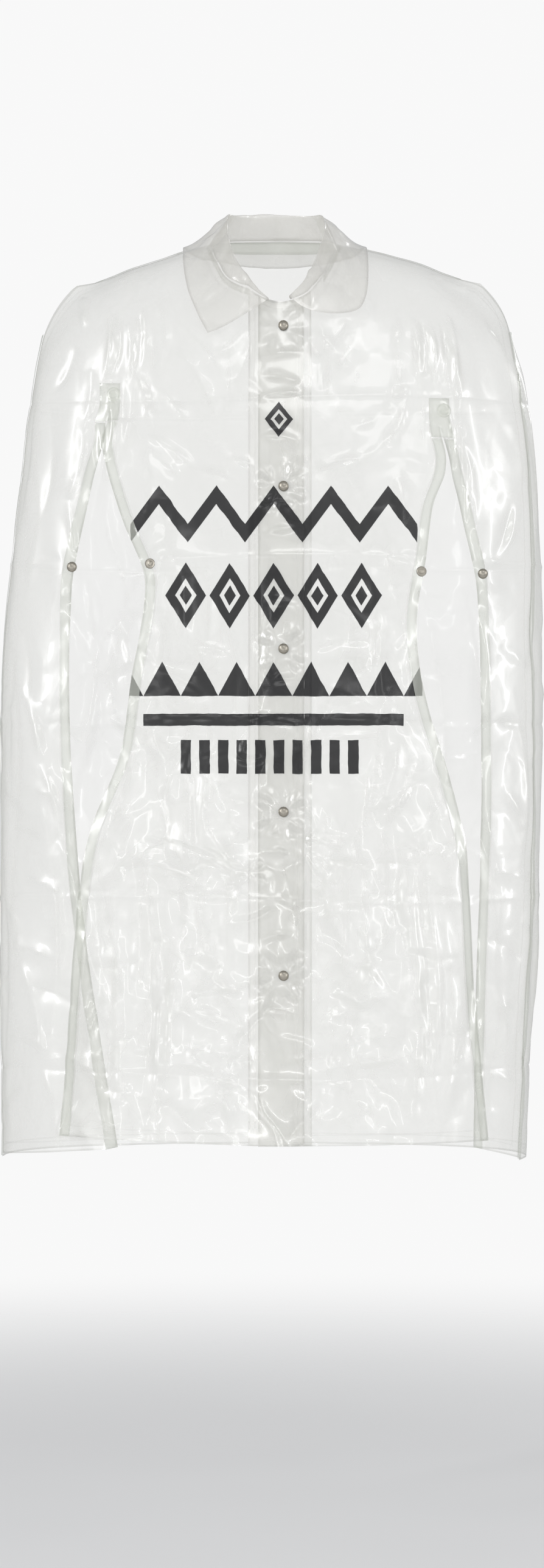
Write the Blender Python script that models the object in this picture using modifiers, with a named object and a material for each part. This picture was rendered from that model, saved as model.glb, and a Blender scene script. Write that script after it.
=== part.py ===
"""Poncho jacket of clear film, worn and open at its arm slits, as walls of a real thickness.

Metres, +Z up. The front faces -Y and the wearer's left is at +X. The origin is the middle of the
neck seat, where the wearer's neck and shoulders carry the garment. Each cut piece is one object.
Tables are in millimetres and are read with smooth curves between their rows.
"""

import math

import bmesh
import bpy
import numpy as np
from mathutils import Matrix, Vector
from mathutils.bvhtree import BVHTree

MM = 0.001

# Walls and the gaps between pieces
WALL = 1.0  # a panel's wall
TAPE = 0.9  # a facing, a band or a seam tape
GAP = 0.35  # between pieces that lie on each other
LAYER_STEP = WALL + 0.5  # from the upper front to the front that it buttons over
SEAM_HALF_GAP = 0.2
SHOULDER_HALF_GAP = 0.55
CORNER_HALF_GAP = 1.1  # at the acute corners of the shoulders
SEAT_GAP = 0.8  # under a snap, which is flat, on a surface that is not

# Widths, in millimetres
BAND_EDGES = (36, 8.75, -18.5, -30)  # X of the snap band's free edge, its middle, its weld, its end
UNDERLAP_EDGES = (-18.5, 8.75, 36, 45)  # the same on the front below it
STRIP = 12.5  # the facing strips along the arm slits
SEAM_TAPE = 4.0  # each side of a seam
TAPE_PLAY = 0.25  # added to the gap under a seam tape, which bends over the seam
SIDE_TAPE_FIRST_ROW = 4  # above it the side seam runs over the shoulder's corner
CORNER_TAPE_LIFT, CORNER_TAPE_ROWS = 1.2, 4
SNAP_RADIUS = 6.0
RING_RADIUS = 8.6
STUD_RADIUS = 5.4

# The garment's level sections, as worn
SIDE_Y = 5.0  # the plane between front and back
SECTIONS = (
    # height, wearer's right side, wearer's left side, front, back, fullness
    (-140, -289, 305, -112, 108, 0.62),
    (-200, -298, 315, -121, 113, 0.62),
    (-250, -303, 320, -126, 115, 0.64),
    (-330, -313, 324, -131, 116, 0.66),
    (-450, -326, 325, -136, 117, 0.70),
    (-600, -330, 328, -143, 122, 0.74),
    (-760, -332, 324, -150, 130, 0.78),
    (-940, -330, 315, -157, 139, 0.82),
    (-1090, -330, 308, -162, 146, 0.85),
)
SEAM_ANGLE = {-1: -85.0, 1: 73.0}  # where front meets back, round from the middle of the front

# The arm slits. Below its top a slit has an inner lip, on the middle of the front, which is lifted
# by the arm, and an outer lip, which sinks behind it.
SLIT_TOP = {-1: -187.0, 1: -205.0}
LIPS = {
    -1: (
        # height, inner lip X, outer lip X, lift, sink
        (-187, -195, -195, 0, 0),
        (-205, -198, -201, 3, 3),
        (-225, -205, -200, 7, 5),
        (-245, -202, -208, 8, 6),
        (-300, -187, -221, 10, 6),
        (-345, -171, -231, 12, 6),
        (-385, -151, -239, 14, 6),
        (-430, -153, -242, 14, 8),
        (-530, -172, -244, 10, 12),
        (-600, -180, -242, 8, 14),
        (-695, -217, -236, 6, 16),
        (-815, -233, -225, 4, 18),
        (-935, -242, -208, 3, 20),
        (-1090, -253, -184, 2, 20),
    ),
    1: (
        (-205, 197, 197, 0, 0),
        (-225, 200, 203, 3, 3),
        (-245, 206, 209, 6, 5),
        (-270, 204, 213, 8, 6),
        (-300, 189, 221, 10, 6),
        (-340, 184, 229, 12, 6),
        (-385, 178, 240, 14, 6),
        (-415, 171, 243, 14, 8),
        (-530, 178, 247, 10, 12),
        (-600, 200, 248, 8, 14),
        (-715, 227, 247, 6, 16),
        (-825, 234, 244, 4, 18),
        (-935, 242, 241, 3, 20),
        (-1090, 255, 238, 2, 20),
    ),
}
LIFT_REACH = 70.0  # how far from its lip a front is lifted

# The hem's height, by piece
FRONT_HEM = {-1: (-1063, -1054), 1: (-1063, -1061)}  # at the middle and at the slit's lip
OUTER_HEM = {-1: (-1067, -1084), 1: (-1070, -1086)}  # at the slit's lip and at the side seam
BACK_HEM = -1089
HEM_START = -600.0  # rows above this are level
FOLDS_RUN_OUT = -1050.0  # a fold that ends below this keeps its rise down to the hem

# The neck and shoulder line, from the middle of the front
FRONT_NECK = (
    # X, Y, height; the same on both sides of the middle
    (8.75, -97, -64),
    (30, -93, -57),
    (48, -82, -42),
    (62, -62, -20),
    (73, -34, 3),
    (80, 2, 20),
)
BACK_NECK = ((80, 2, 20), (75, 30, 26), (56, 53, 31), (30, 65, 33), (0, 69, 34))
SHOULDERS = {
    -1: ((80, 2, 20), (110, 4, 12), (141, 5, 1), (178, 5, -10), (212, 5, -25), (240, 5, -28)),
    1: ((80, 2, 20), (110, 4, 15), (150, 5, 5), (178, 5, -2), (214, 5, -18), (252, 5, -26)),
}

# How the panels leave the neck and shoulder line, and turn down over the shoulders
TOP_PULL, BODY_PULL = 0.42, 0.36  # how full the rounding is, at its top and at its foot
NECK_POINT_X = (46.0, 82.0)  # between these the neckline passes into the shoulder
SHOULDER_END_X = 170.0  # beyond it the panels fall off the shoulder's end
OVER_SHOULDER, OFF_SHOULDER = (0.0, 1.0, -0.2), (0.72, 0.12, -0.68)  # out, ahead, up

# Rows from the shoulders down, and columns
CAP_STEPS = (0.0, 0.07, 0.21, 0.4, 0.6, 0.8)
UPPER_ROWS = (
    -140, -158, -176, -187, -205, -225, -245, -270, -300, -330,
    -360, -390, -425, -465, -510, -555, -600,
)  # fmt: skip
LOWER_ROWS = 12
NECK_COLUMNS = 4  # of a front, from the band to the neck point
OUTER_COLUMNS = 6  # of a front, from its slit to the side seam
BACK_SHOULDER_COLUMNS = 7
BACK_NECK_COLUMNS = 8

# The largest folds: ridges raised along a line, in millimetres
FRONT_FOLDS = (
    # X and height at the top, X and height at the bottom, half width, rise
    (-196, -50, -208, -160, 16, 7),
    (-170, -62, -176, -150, 14, 5),
    (-148, -55, -160, -142, 15, 6),
    (165, -62, 172, -140, 15, 6),
    (188, -70, 191, -142, 13, 5),
    (210, -60, 217, -165, 16, 7),
    (-222, -150, -249, -300, 14, 9),
    (-249, -300, -256, -430, 14, 9),
    (226, -140, 241, -275, 11, 8),
    (241, -275, 259, -430, 14, 9),
    (-312, -510, -240, -800, 22, 8),
    (-240, -800, -188, -1075, 22, 6),
    (-328, -770, -264, -1080, 20, 7),
    (293, -270, 262, -385, 16, 6),
    (-120, -330, -104, -720, 26, 6),
    (122, -350, 108, -760, 26, 6),
    (-150, -700, -158, -1080, 26, 9),
    (-88, -640, -80, -1080, 24, 6),
    (160, -690, 168, -1080, 26, 9),
    (90, -620, 96, -1080, 24, 6),
    (210, -640, 208, -1080, 22, 7),
    (-205, -640, -206, -1080, 20, 6),
)
BACK_FOLDS = (
    (-150, -60, -168, -260, 18, 7),
    (155, -60, 172, -260, 18, 7),
    (-205, -90, -238, -420, 20, 8),
    (208, -90, 240, -420, 20, 8),
    (-60, -90, -74, -420, 24, 5),
    (66, -90, 78, -430, 24, 5),
    (-120, -420, -132, -1085, 30, 11),
    (128, -430, 136, -1085, 30, 11),
    (-30, -520, -34, -1085, 28, 8),
    (48, -560, 44, -1085, 26, 8),
    (-210, -480, -216, -1085, 28, 11),
    (212, -470, 214, -1085, 28, 11),
    (-284, -560, -272, -1085, 22, 7),
    (280, -560, 270, -1085, 22, 7),
)

# The collar, by the angle round the neck from the middle of the front
NECK_MIDDLE = (2.0, -8.0)
COLLAR_ENDS = {-1: -8.0, 1: 20.0}  # X where each half starts on the neck
COLLAR = {
    -1: (
        # angle, fold X, Y, height, edge X, Y, height, sag of the edge end
        (6, -6, -103, -57, -78, -108, -101, 0),
        (24, -23, -99, -41, -91, -100, -76, 0),
        (42, -42, -80, -16, -103, -88, -46, 0),
        (58, -52, -55, 8, -108, -66, -20, 0),
        (78, -58, -28, 34, -110, -36, 2, 0),
        (98, -58, 2, 57, -110, 4, 16, 0),
        (140, -44, 42, 64, -92, 76, 12, 0),
        (180, 0, 56, 67, 0, 98, 2, 0),
    ),
    1: (
        (11, 18, -103, -54, 104, -104, -72, 13),
        (24, 31, -99, -41, 110, -94, -56, 4),
        (42, 45, -82, -20, 113, -82, -36, 0),
        (58, 54, -56, 6, 114, -62, -16, 0),
        (78, 62, -28, 34, 114, -34, 3, 0),
        (98, 62, 2, 57, 113, 4, 17, 0),
        (140, 46, 42, 64, 94, 76, 12, 0),
        (180, 0, 56, 67, 0, 98, 2, 0),
    ),
}
ROLL = 2.6  # half the width of the collar's fold
FALL_STEPS = (0.22, 0.45, 0.68, 0.86, 1.0)
COLLAR_LIFT = 5.0  # the fall stands off the body at least this much
COLLAR_WALL = 1.0
COLLAR_SEAT = 1.9  # from the panels' neck edge to the collar's own
FALL_PULLS = ((14.0, 7.0), (24.0, 6.0))  # out and down, near the fold and near the edge
OVER_SHOULDERS, BESIDE_NECK = 62.0, 100.0  # angles round the neck
OUTSIDE = 400.0  # a distance beyond the garment, from which the body is looked for
NEAR_SIDE = 20.0  # a hit further behind the side plane is on the other half

# Snaps
FIRST_SNAP = -92.0
SNAP_STEP = 193.0
SNAPS = 5
SLIT_SNAP_HEIGHT = {-1: -378.0, 1: -387.0}
SLIT_SNAP_INSET = 6.2  # its centre from the lip
RING_ABOVE_SLIT = 11.0
PATCH_OVER_SLIT = 0.94  # of the way from the slit's top to where its facings start

CAP_PROFILE = ((0, 3.1), (0.35, 3.0), (0.72, 2.3), (0.93, 1.1), (1.0, 0.0))
STUD_PROFILE = ((0, 1.9), (0.42, 1.9), (0.5, 1.1), (0.92, 0.9), (1.0, 0.0))
RING_PROFILE = ((0, 0.7), (0.5, 0.7), (0.64, 1.5), (0.86, 1.5), (1.0, 0.0))


def table_at(rows, key):
    """The other columns of a table at a key, on smooth curves through its rows."""
    table = np.array(sorted(rows), float)
    keys, values = table[:, 0], table[:, 1:]
    key = min(max(key, keys[0]), keys[-1])
    i = min(max(int(np.searchsorted(keys, key)) - 1, 0), len(keys) - 2)
    slopes = np.gradient(values, keys, axis=0)
    span = keys[i + 1] - keys[i]
    t = (key - keys[i]) / span
    return (
        (2 * t**3 - 3 * t**2 + 1) * values[i]
        + (t**3 - 2 * t**2 + t) * span * slopes[i]
        + (3 * t**2 - 2 * t**3) * values[i + 1]
        + (t**3 - t**2) * span * slopes[i + 1]
    )


def section(angles, height):
    """Points of the garment's level section, at angles in radians round from the front."""
    right, left, front, back, fullness = table_at(SECTIONS, height)
    sine, cosine = np.sin(angles), np.cos(angles)
    x = sine * np.where(sine > 0, left, -right)
    depth = np.where(cosine > 0, front, back)
    y = SIDE_Y + depth * np.abs(cosine) ** fullness
    return np.stack([x, y, np.full_like(x, height)], axis=-1)


def angle_at(x, height):
    """The angle of the section's front point at an X."""
    right, left = table_at(SECTIONS, height)[:2]
    return math.asin(x / (left if x > 0 else -right))


def lengths_along(points):
    """The running length at each point of a line."""
    steps = np.linalg.norm(np.diff(points, axis=0), axis=1)
    return np.concatenate([[0.0], np.cumsum(steps)])


def angles_between(height, first, last, shares):
    """Angles at shares of the section's own length between two angles, and that length."""
    fine = np.linspace(first, last, 241)
    along = lengths_along(section(fine, height))
    return np.interp(np.array(shares) * along[-1], along, fine), along[-1]


def smooth_line(points, count):
    """Points at even lengths on a smooth curve through a few points."""
    points = np.array(points, float)
    keys = lengths_along(points)
    rows = [(k, *p) for k, p in zip(keys, points)]
    fine = np.array([table_at(rows, k) for k in np.linspace(0, keys[-1], 121)])
    along = lengths_along(fine)
    at = np.linspace(0, along[-1], count + 1)
    return np.stack([np.interp(at, along, fine[:, k]) for k in range(3)], axis=1)


def on_neck(x):
    """The point of the front neckline at an X near the middle."""
    middle = BAND_EDGES[1]
    y, height = table_at(FRONT_NECK, middle + abs(x - middle))
    return np.array([x, y, height])


def grid_normals(points):
    """Outward normals of a grid whose rows run down and whose columns run to one side."""
    down = np.gradient(points, axis=0)
    across = np.gradient(points, axis=1)
    normal = np.cross(down, across)
    normal /= np.linalg.norm(normal, axis=2, keepdims=True)
    middle = points[len(points) // 2, points.shape[1] // 2] - np.array([0, SIDE_Y, 0])
    facing = normal[len(points) // 2, points.shape[1] // 2]
    return normal if facing[0] * middle[0] + facing[1] * middle[1] > 0 else -normal


def fold_rise(points, folds):
    """How far each point is raised by the folds that pass it."""
    rise = np.zeros(points.shape[:-1])
    for x0, z0, x1, z1, half, height in folds:
        start, run = np.array([x0, z0]), np.array([x1 - x0, z1 - z0])
        flat = points[..., (0, 2)] - start
        t = flat @ run / (run @ run)
        aside = np.linalg.norm(flat - np.clip(t, 0, 1)[..., None] * run, axis=-1)
        fade = np.sin(np.pi * np.clip(t, 0.0, 1.0)) ** 0.5
        fade = np.where((z1 < FOLDS_RUN_OUT) & (t > 0.5), 1.0, fade)
        rise += height * fade * np.exp(-((aside / half) ** 2))
    return rise


def hold_at_seams(rise, first, last):
    """The folds' rise, brought to nothing at the top row and at the side seams."""
    held = rise.copy()
    held[:3] *= np.array([[0.0], [0.4], [0.8]])
    if first:
        held[:, :2] *= np.array([0.0, 0.6])
    if last:
        held[:, -2:] *= np.array([0.6, 0.0])
    return held


def part_at_corner(points, column, forward):
    """Open the seam below a shoulder's corner, where front and back meet at a sharp angle."""
    rows = len(CAP_STEPS) + 1
    share = 1 - np.arange(rows) / (rows - 1)
    points[:rows, column, 1] += forward * (CORNER_HALF_GAP - SEAM_HALF_GAP) * share


def row_heights(hem):
    """The heights of a column's rows below the shoulders, down to its hem."""
    share = np.arange(1, LOWER_ROWS + 1) / LOWER_ROWS
    return np.concatenate([UPPER_ROWS, HEM_START + share * (hem - HEM_START)])


def section_heights():
    """The height at which each row below the shoulders takes its section."""
    return row_heights(BACK_HEM)


def shoulder_cap(tops, leave, body):
    """Rows from the shoulder and neck line, rounded over to the body's first row."""
    first = body[0]
    reach = np.linalg.norm(first - tops, axis=1, keepdims=True)
    rise = first - body[1]
    rise /= np.linalg.norm(rise, axis=1, keepdims=True)
    near_top, near_body = tops + TOP_PULL * reach * leave, first + BODY_PULL * reach * rise
    rows = []
    for t in CAP_STEPS:
        rows.append(
            (1 - t) ** 3 * tops
            + 3 * (1 - t) ** 2 * t * near_top
            + 3 * (1 - t) * t**2 * near_body
            + t**3 * first
        )
    return np.concatenate([rows, body])


def leaving(tops, first, forward, side):
    """The directions in which a panel leaves the neck and shoulder line."""
    straight = first - tops
    straight /= np.linalg.norm(straight, axis=1, keepdims=True)
    over = np.array(OVER_SHOULDER) * (side, forward, 1)
    fall = np.array(OFF_SHOULDER) * (side, forward, 1)
    out = np.abs(tops[:, 0])
    shoulder = np.interp(out, NECK_POINT_X, (0, 1))[:, None]
    end = np.interp(out, (SHOULDER_END_X, abs(tops[-1, 0])), (0, 1))[:, None] ** 2
    direction = (1 - shoulder) * straight + shoulder * ((1 - end) * over + end * fall)
    return direction / np.linalg.norm(direction, axis=1, keepdims=True)


class Front:
    """A front's points: an inner part up to the slit and an outer part beyond it.

    Both hold a row for each height and a column from the middle to the side, in millimetres.
    """

    def __init__(self, side, edges, inward):
        self.side, self.edges, self.inward = side, edges, inward
        inner, outer = self.body_rows()
        tops = self.top_row()
        leave = leaving(tops, np.concatenate([inner[0], outer[0][1:]]), -1.0, side)
        split = inner.shape[1]
        self.inner = shoulder_cap(tops[:split], leave[:split], inner)
        self.outer = shoulder_cap(tops[split - 1 :], leave[split - 1 :], outer)
        for part, last in ((self.inner, False), (self.outer, True)):
            rise = hold_at_seams(fold_rise(part, FRONT_FOLDS), False, last)
            part += grid_normals(part) * rise[..., None]
        part_at_corner(self.outer, -1, -1)
        self.slit_row = len(CAP_STEPS) + UPPER_ROWS.index(SLIT_TOP[side])
        self.outer[: self.slit_row + 1, 0] = self.inner[: self.slit_row + 1, -1]

    def lips(self, height):
        """The slit's two lips at a height, and how far they are lifted and sunk."""
        return table_at(LIPS[self.side], min(height, SLIT_TOP[self.side]))

    def body_rows(self):
        """The rows below the shoulders."""
        middle_hem, lip_hem = FRONT_HEM[self.side]
        outer_hems = OUTER_HEM[self.side]
        inner, outer = [], []
        for row, height in enumerate(section_heights()):
            inner_x, outer_x, lift, sink = self.lips(height)
            straight = [angle_at(x, height) for x in self.edges]
            lip = angle_at(inner_x, height)
            length = angles_between(height, straight[-1], lip, (0, 1))[1]
            shares = np.linspace(0, 1 - STRIP / length, NECK_COLUMNS + 1)
            angles, _ = angles_between(height, straight[-1], lip, (*shares[1:], 1))
            part = section(np.concatenate([straight, angles]), height)
            hems = np.interp(np.abs(part[:, 0]), (0, abs(inner_x)), (middle_hem, lip_hem))
            part[:, 2] = [row_heights(hem)[row] for hem in hems]
            part[:, 1] -= lift * np.exp(-(((inner_x - part[:, 0]) / LIFT_REACH) ** 2))
            part[:, 1] += self.sink_below_band(part[:, 0])
            inner.append(part)

            seam = math.radians(SEAM_ANGLE[self.side])
            start = angle_at(outer_x, height)
            length = angles_between(height, start, seam, (0, 1))[1]
            shares = np.linspace(STRIP / length, 1 - SEAM_HALF_GAP / length, OUTER_COLUMNS)
            angles, _ = angles_between(height, start, seam, (0, *shares))
            part = section(angles, height)
            across = np.linspace(0, 1, OUTER_COLUMNS + 1)
            hems = np.interp(across, (0, 1), outer_hems)
            part[:, 2] = [row_heights(hem)[row] for hem in hems]
            part[:, 1] += sink * (1 - across)
            outer.append(part)
        return np.array(inner), np.array(outer)

    def sink_below_band(self, x):
        """How far the front under the snap band lies behind the other one."""
        beyond = np.clip((np.abs(x) - 48) / 60, 0, 1)
        return self.inward * (1 - beyond * beyond * (3 - 2 * beyond))

    def top_row(self):
        """The neckline and the shoulder line, a point for each column."""
        side = self.side
        flip = np.array([side, 1, 1])
        straight = np.array([on_neck(x) for x in self.edges])
        reach = abs(self.edges[-1])
        end = on_neck(reach) if side > 0 else on_neck(-reach)
        neck_end = np.array([abs(end[0]), end[1], end[2]])
        below = [p for p in FRONT_NECK if p[0] > neck_end[0] + 2]
        neck = smooth_line([neck_end, *below], NECK_COLUMNS)[1:] * flip
        shoulder = smooth_line(SHOULDERS[side], OUTER_COLUMNS + 1)[1:] * flip
        tops = np.concatenate([straight, neck, shoulder])
        tops[:, 1] += self.sink_below_band(tops[:, 0])
        tops[len(straight) + NECK_COLUMNS - 1 :, 1] -= SHOULDER_HALF_GAP
        return tops

    def joined(self):
        """Both parts as one grid, for what lies above the slit."""
        return np.concatenate([self.inner, self.outer[:, 1:]], axis=1)


def back_points():
    """The back's points, a column from the wearer's left side seam round to the right one."""
    first, last = math.radians(SEAM_ANGLE[1]), math.radians(360 + SEAM_ANGLE[-1])
    count = 2 * BACK_SHOULDER_COLUMNS + BACK_NECK_COLUMNS
    rows = []
    for row, height in enumerate(section_heights()):
        length = angles_between(height, first, last, (0, 1))[1]
        inset = SEAM_HALF_GAP / length
        angles, _ = angles_between(height, first, last, np.linspace(inset, 1 - inset, count + 1))
        part = section(angles, height)
        part[:, 2] = height
        rows.append(part)
    body = np.array(rows)
    left = smooth_line(SHOULDERS[1], BACK_SHOULDER_COLUMNS)[::-1]
    right = smooth_line(SHOULDERS[-1], BACK_SHOULDER_COLUMNS) * np.array([-1, 1, 1])
    neck = smooth_line(BACK_NECK, BACK_NECK_COLUMNS // 2)
    mirrored = neck[::-1][1:] * np.array([-1, 1, 1])
    tops = np.concatenate([left, neck[1:], mirrored, right[1:]])
    tops[:, 1] += SHOULDER_HALF_GAP
    half = len(tops) // 2
    leave = np.concatenate(
        [
            leaving(tops[: half + 1][::-1], body[0][: half + 1][::-1], 1.0, 1)[::-1],
            leaving(tops[half:], body[0][half:], 1.0, -1)[1:],
        ]
    )
    points = shoulder_cap(tops, leave, body)
    rise = hold_at_seams(fold_rise(points, BACK_FOLDS), True, True)
    points += grid_normals(points) * rise[..., None]
    part_at_corner(points, 0, 1)
    part_at_corner(points, -1, 1)
    return points


def film(name, colour, alpha, roughness, metallic=0.0):
    """A piece's material."""
    material = bpy.data.materials.new(name)
    material.use_nodes = True
    shader = material.node_tree.nodes["Principled BSDF"]
    shader.inputs["Base Color"].default_value = (*colour, 1)
    shader.inputs["Alpha"].default_value = alpha
    shader.inputs["Roughness"].default_value = roughness
    shader.inputs["Metallic"].default_value = metallic
    return material


def as_object(name, work, material, collection):
    """A named object from a bmesh, with its own material."""
    mesh = bpy.data.meshes.new(name)
    work.to_mesh(mesh)
    work.free()
    mesh.materials.append(material)
    mesh.shade_smooth()
    mesh.set_sharp_from_angle(angle=math.radians(40))
    piece = bpy.data.objects.new(name, mesh)
    collection.objects.link(piece)
    return piece


def grid_bmesh(points, turned):
    """A bmesh grid with its vertices at a table of points, rows down and columns across.

    Its quads are split the same way in every piece that lies on another, so their faces stay
    parallel. A piece whose columns run the other way is turned, and splits them the other way.
    """
    rows, columns = points.shape[:2]
    work = bmesh.new()
    bmesh.ops.create_grid(work, x_segments=columns - 1, y_segments=rows - 1, size=1)
    work.verts.ensure_lookup_table()
    for i, point in enumerate(points.reshape(-1, 3) * MM):
        work.verts[i].co = point
    method = "ALTERNATE" if turned else "FIXED"
    bmesh.ops.triangulate(work, faces=work.faces, quad_method=method)
    return work


def add_sheet(name, parts, normals, material, collection, wall=WALL, centred=True, turned=False):
    """A wall made from one or more grids that share the vertices where they meet.

    A centred wall lies on both sides of its points, and any other wall lies outside them.
    """
    work = bmesh.new()
    for part in parts:
        grid = grid_bmesh(part, turned)
        holder = bpy.data.meshes.new("holder")
        grid.to_mesh(holder)
        grid.free()
        work.from_mesh(holder)
        bpy.data.meshes.remove(holder)
    bmesh.ops.remove_doubles(work, verts=work.verts, dist=1e-6)
    work.normal_update()
    outward = Vector(normals[0][len(parts[0]) // 2, parts[0].shape[1] // 2])
    middle = Vector(parts[0][len(parts[0]) // 2, parts[0].shape[1] // 2]) * MM
    nearest = min(work.faces, key=lambda f: (f.calc_center_median() - middle).length)
    bmesh.ops.recalc_face_normals(work, faces=work.faces)
    work.normal_update()
    if nearest.normal.dot(outward) < 0:
        bmesh.ops.reverse_faces(work, faces=work.faces)
    piece = as_object(name, work, material, collection)
    solid = piece.modifiers.new("wall", "SOLIDIFY")
    solid.thickness = wall * MM
    solid.offset = 0.0 if centred else 1.0
    solid.use_even_offset = False
    solid.use_rim = True
    return piece


def add_strip(name, grid, rows, columns, out, material, collection, turned=False):
    """A strip on a panel, made from some of the panel's rows and columns, moved out or in."""
    normals = grid_normals(grid)
    chosen, facing = grid[rows, columns], normals[rows, columns]
    direction = 1.0 if out > 0 else -1.0
    moved, outward = [chosen + facing * out], [facing * direction]
    return add_sheet(name, moved, outward, material, collection, TAPE, False, turned)


def add_round(name, centre, normal, radius, profile, material, collection, sides=20):
    """A turned disc that stands on a point: a snap's cap, its stud or a ring."""
    work = bmesh.new()
    rim = [work.verts.new((share * radius * MM, 0, rise * MM)) for share, rise in profile]
    foot = work.verts.new((0, 0, 0))
    edges = [work.edges.new(pair) for pair in zip([*rim, foot][:-1], [*rim, foot][1:])]
    bmesh.ops.spin(
        work,
        geom=[*work.verts, *edges],
        cent=(0, 0, 0),
        axis=(0, 0, 1),
        angle=math.tau,
        steps=sides,
        use_merge=True,
    )
    bmesh.ops.remove_doubles(work, verts=work.verts, dist=1e-6)
    bmesh.ops.recalc_face_normals(work, faces=work.faces)
    turn = Vector(normal).to_track_quat("Z", "Y").to_matrix().to_4x4()
    place = Matrix.Translation(Vector(centre) * MM) @ turn
    bmesh.ops.transform(work, matrix=place, verts=work.verts)
    return as_object(name, work, material, collection)


def place_on(grid, column, height):
    """The point and the outward normal of a panel where a column passes a height."""
    normals = grid_normals(grid)
    line, facing = grid[:, column], normals[:, column]
    order = np.argsort(line[:, 2])
    point = [np.interp(height, line[order, 2], line[order, k]) for k in range(3)]
    normal = [np.interp(height, line[order, 2], facing[order, k]) for k in range(3)]
    return np.array(point), np.array(normal) / np.linalg.norm(normal)


def seam_tape(name, seam, toward_front, toward_back, over_corner, material, collection):
    """A tape over a seam, bent along the two panels that meet there.

    Its first rows stand further off, where the panels meet at a shoulder's sharp corner.
    """
    rows = []
    for point, ahead, behind in zip(seam, toward_front, toward_back):
        ahead = ahead / np.linalg.norm(ahead)
        behind = behind / np.linalg.norm(behind)
        rows.append([point + ahead * SEAM_TAPE, point, point + behind * SEAM_TAPE])
    rows = np.array(rows)
    normals = grid_normals(rows)
    middle = rows[len(rows) // 2, 1]
    away = np.array([middle[0], middle[1], 120.0 if abs(middle[2]) < 60 else 0.0])
    if normals[len(rows) // 2, 1] @ away < 0:
        normals = -normals
    lift = np.full(len(rows), WALL / 2 + GAP + TAPE_PLAY)
    lift[: len(over_corner)] += over_corner
    lifted = rows + normals * lift[:, None, None]
    return add_sheet(name, [lifted], [normals], material, collection, TAPE, False)


def body_tree(grids):
    """The panels' surface, for laying the collar over it."""
    points, faces = [], []
    for grid in grids:
        rows, columns = grid.shape[:2]
        base = len(points)
        points += [Vector(p) for p in grid.reshape(-1, 3)]
        for i in range(rows - 1):
            for j in range(columns - 1):
                a = base + i * columns + j
                faces.append((a, a + 1, a + columns + 1, a + columns))
    return BVHTree.FromPolygons(points, faces)


def off_body(point, angle, tree, lift):
    """A point of the collar's fall, moved out where the body comes nearer than lift."""
    x, y, z = point
    ahead = 1.0 if angle < BESIDE_NECK else -1.0
    hit = tree.ray_cast(Vector((x, -OUTSIDE * ahead, z)), Vector((0, ahead, 0)))[0]
    if hit is not None and (hit.y - SIDE_Y) * ahead < NEAR_SIDE:
        y = ahead * min(y * ahead, hit.y * ahead - lift)
    if angle > OVER_SHOULDERS:
        hit = tree.ray_cast(Vector((x, y, OUTSIDE)), Vector((0, 0, -1)))[0]
        if hit is not None:
            z = max(z, hit.z + lift)
    return np.array([x, y, z])


def collar_row(base, side, angle, tree):
    """The collar's points at one place round the neck, from the neck seam to the fall's edge."""
    values = table_at(COLLAR[side], angle)
    fold, edge, sag = values[:3], values[3:6], values[6]
    out = edge - fold
    out[2] = 0
    out /= np.linalg.norm(out)
    down = np.array([0, 0, -1.0])
    height = np.linalg.norm(fold - base)
    roll = min(ROLL, 0.28 * height)
    ahead = np.array([fold[0] - NECK_MIDDLE[0], fold[1] - NECK_MIDDLE[1], 0.0])
    across = 0.75 * ahead / np.linalg.norm(ahead) + 0.25 * out
    inside = fold - across * roll + down * roll * 1.3
    outside = fold + across * roll + down * roll * 1.3
    stand = 0.5 * (base + inside) + out * 0.06 * height
    near_fold = outside + out * FALL_PULLS[0][0] + down * FALL_PULLS[0][1]
    near_edge = edge - out * FALL_PULLS[1][0] - down * FALL_PULLS[1][1]
    points = [base, stand, inside, fold, outside]
    for t in FALL_STEPS:
        point = (
            (1 - t) ** 3 * outside
            + 3 * (1 - t) ** 2 * t * near_fold
            + 3 * (1 - t) * t**2 * near_edge
            + t**3 * edge
            + down * sag * math.sin(math.pi * t)
        )
        lift = COLLAR_LIFT * min(1.0, 0.45 + 2.2 * t)
        points.append(off_body(point, angle, tree, lift))
    return np.array(points)


def collar_points(fronts, back, tree):
    """The collar's grid, a row for each place round the neck."""
    bases = []
    for side in (-1, 1):
        front = fronts[side]
        neck = front.inner[0, : len(front.edges) + NECK_COLUMNS]
        start = COLLAR_ENDS[side]
        chosen = [p for p in neck if (p[0] - start) * side > 4]
        straight = neck[np.argsort(neck[:4, 0])]
        first = np.array([np.interp(start, straight[:, 0], straight[:, k]) for k in range(3)])
        bases.append([first, *chosen])
    across = back[0, BACK_SHOULDER_COLUMNS + 1 : -BACK_SHOULDER_COLUMNS - 1]
    line = [*bases[0], *across[::-1], *bases[1][::-1]]
    rows = []
    for point in line:
        side = -1 if point[0] < NECK_MIDDLE[0] else 1
        turn = math.atan2(abs(point[0] - NECK_MIDDLE[0]), NECK_MIDDLE[1] - point[1])
        angle = math.degrees(turn)
        lift = np.array([0, 0.3 if angle < 60 else 0.0, 1.0])
        rows.append(collar_row(point + lift * COLLAR_SEAT, side, angle, tree))
    return np.array(rows)


def collar_normals(points):
    """Outward normals of the collar, from its fall."""
    down = np.gradient(points, axis=1)
    around = np.gradient(points, axis=0)
    normal = np.cross(down, around)
    normal /= np.linalg.norm(normal, axis=2, keepdims=True)
    row, column = len(points) // 2, points.shape[1] - 2
    return normal if normal[row, column, 1] > 0 else -normal


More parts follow.
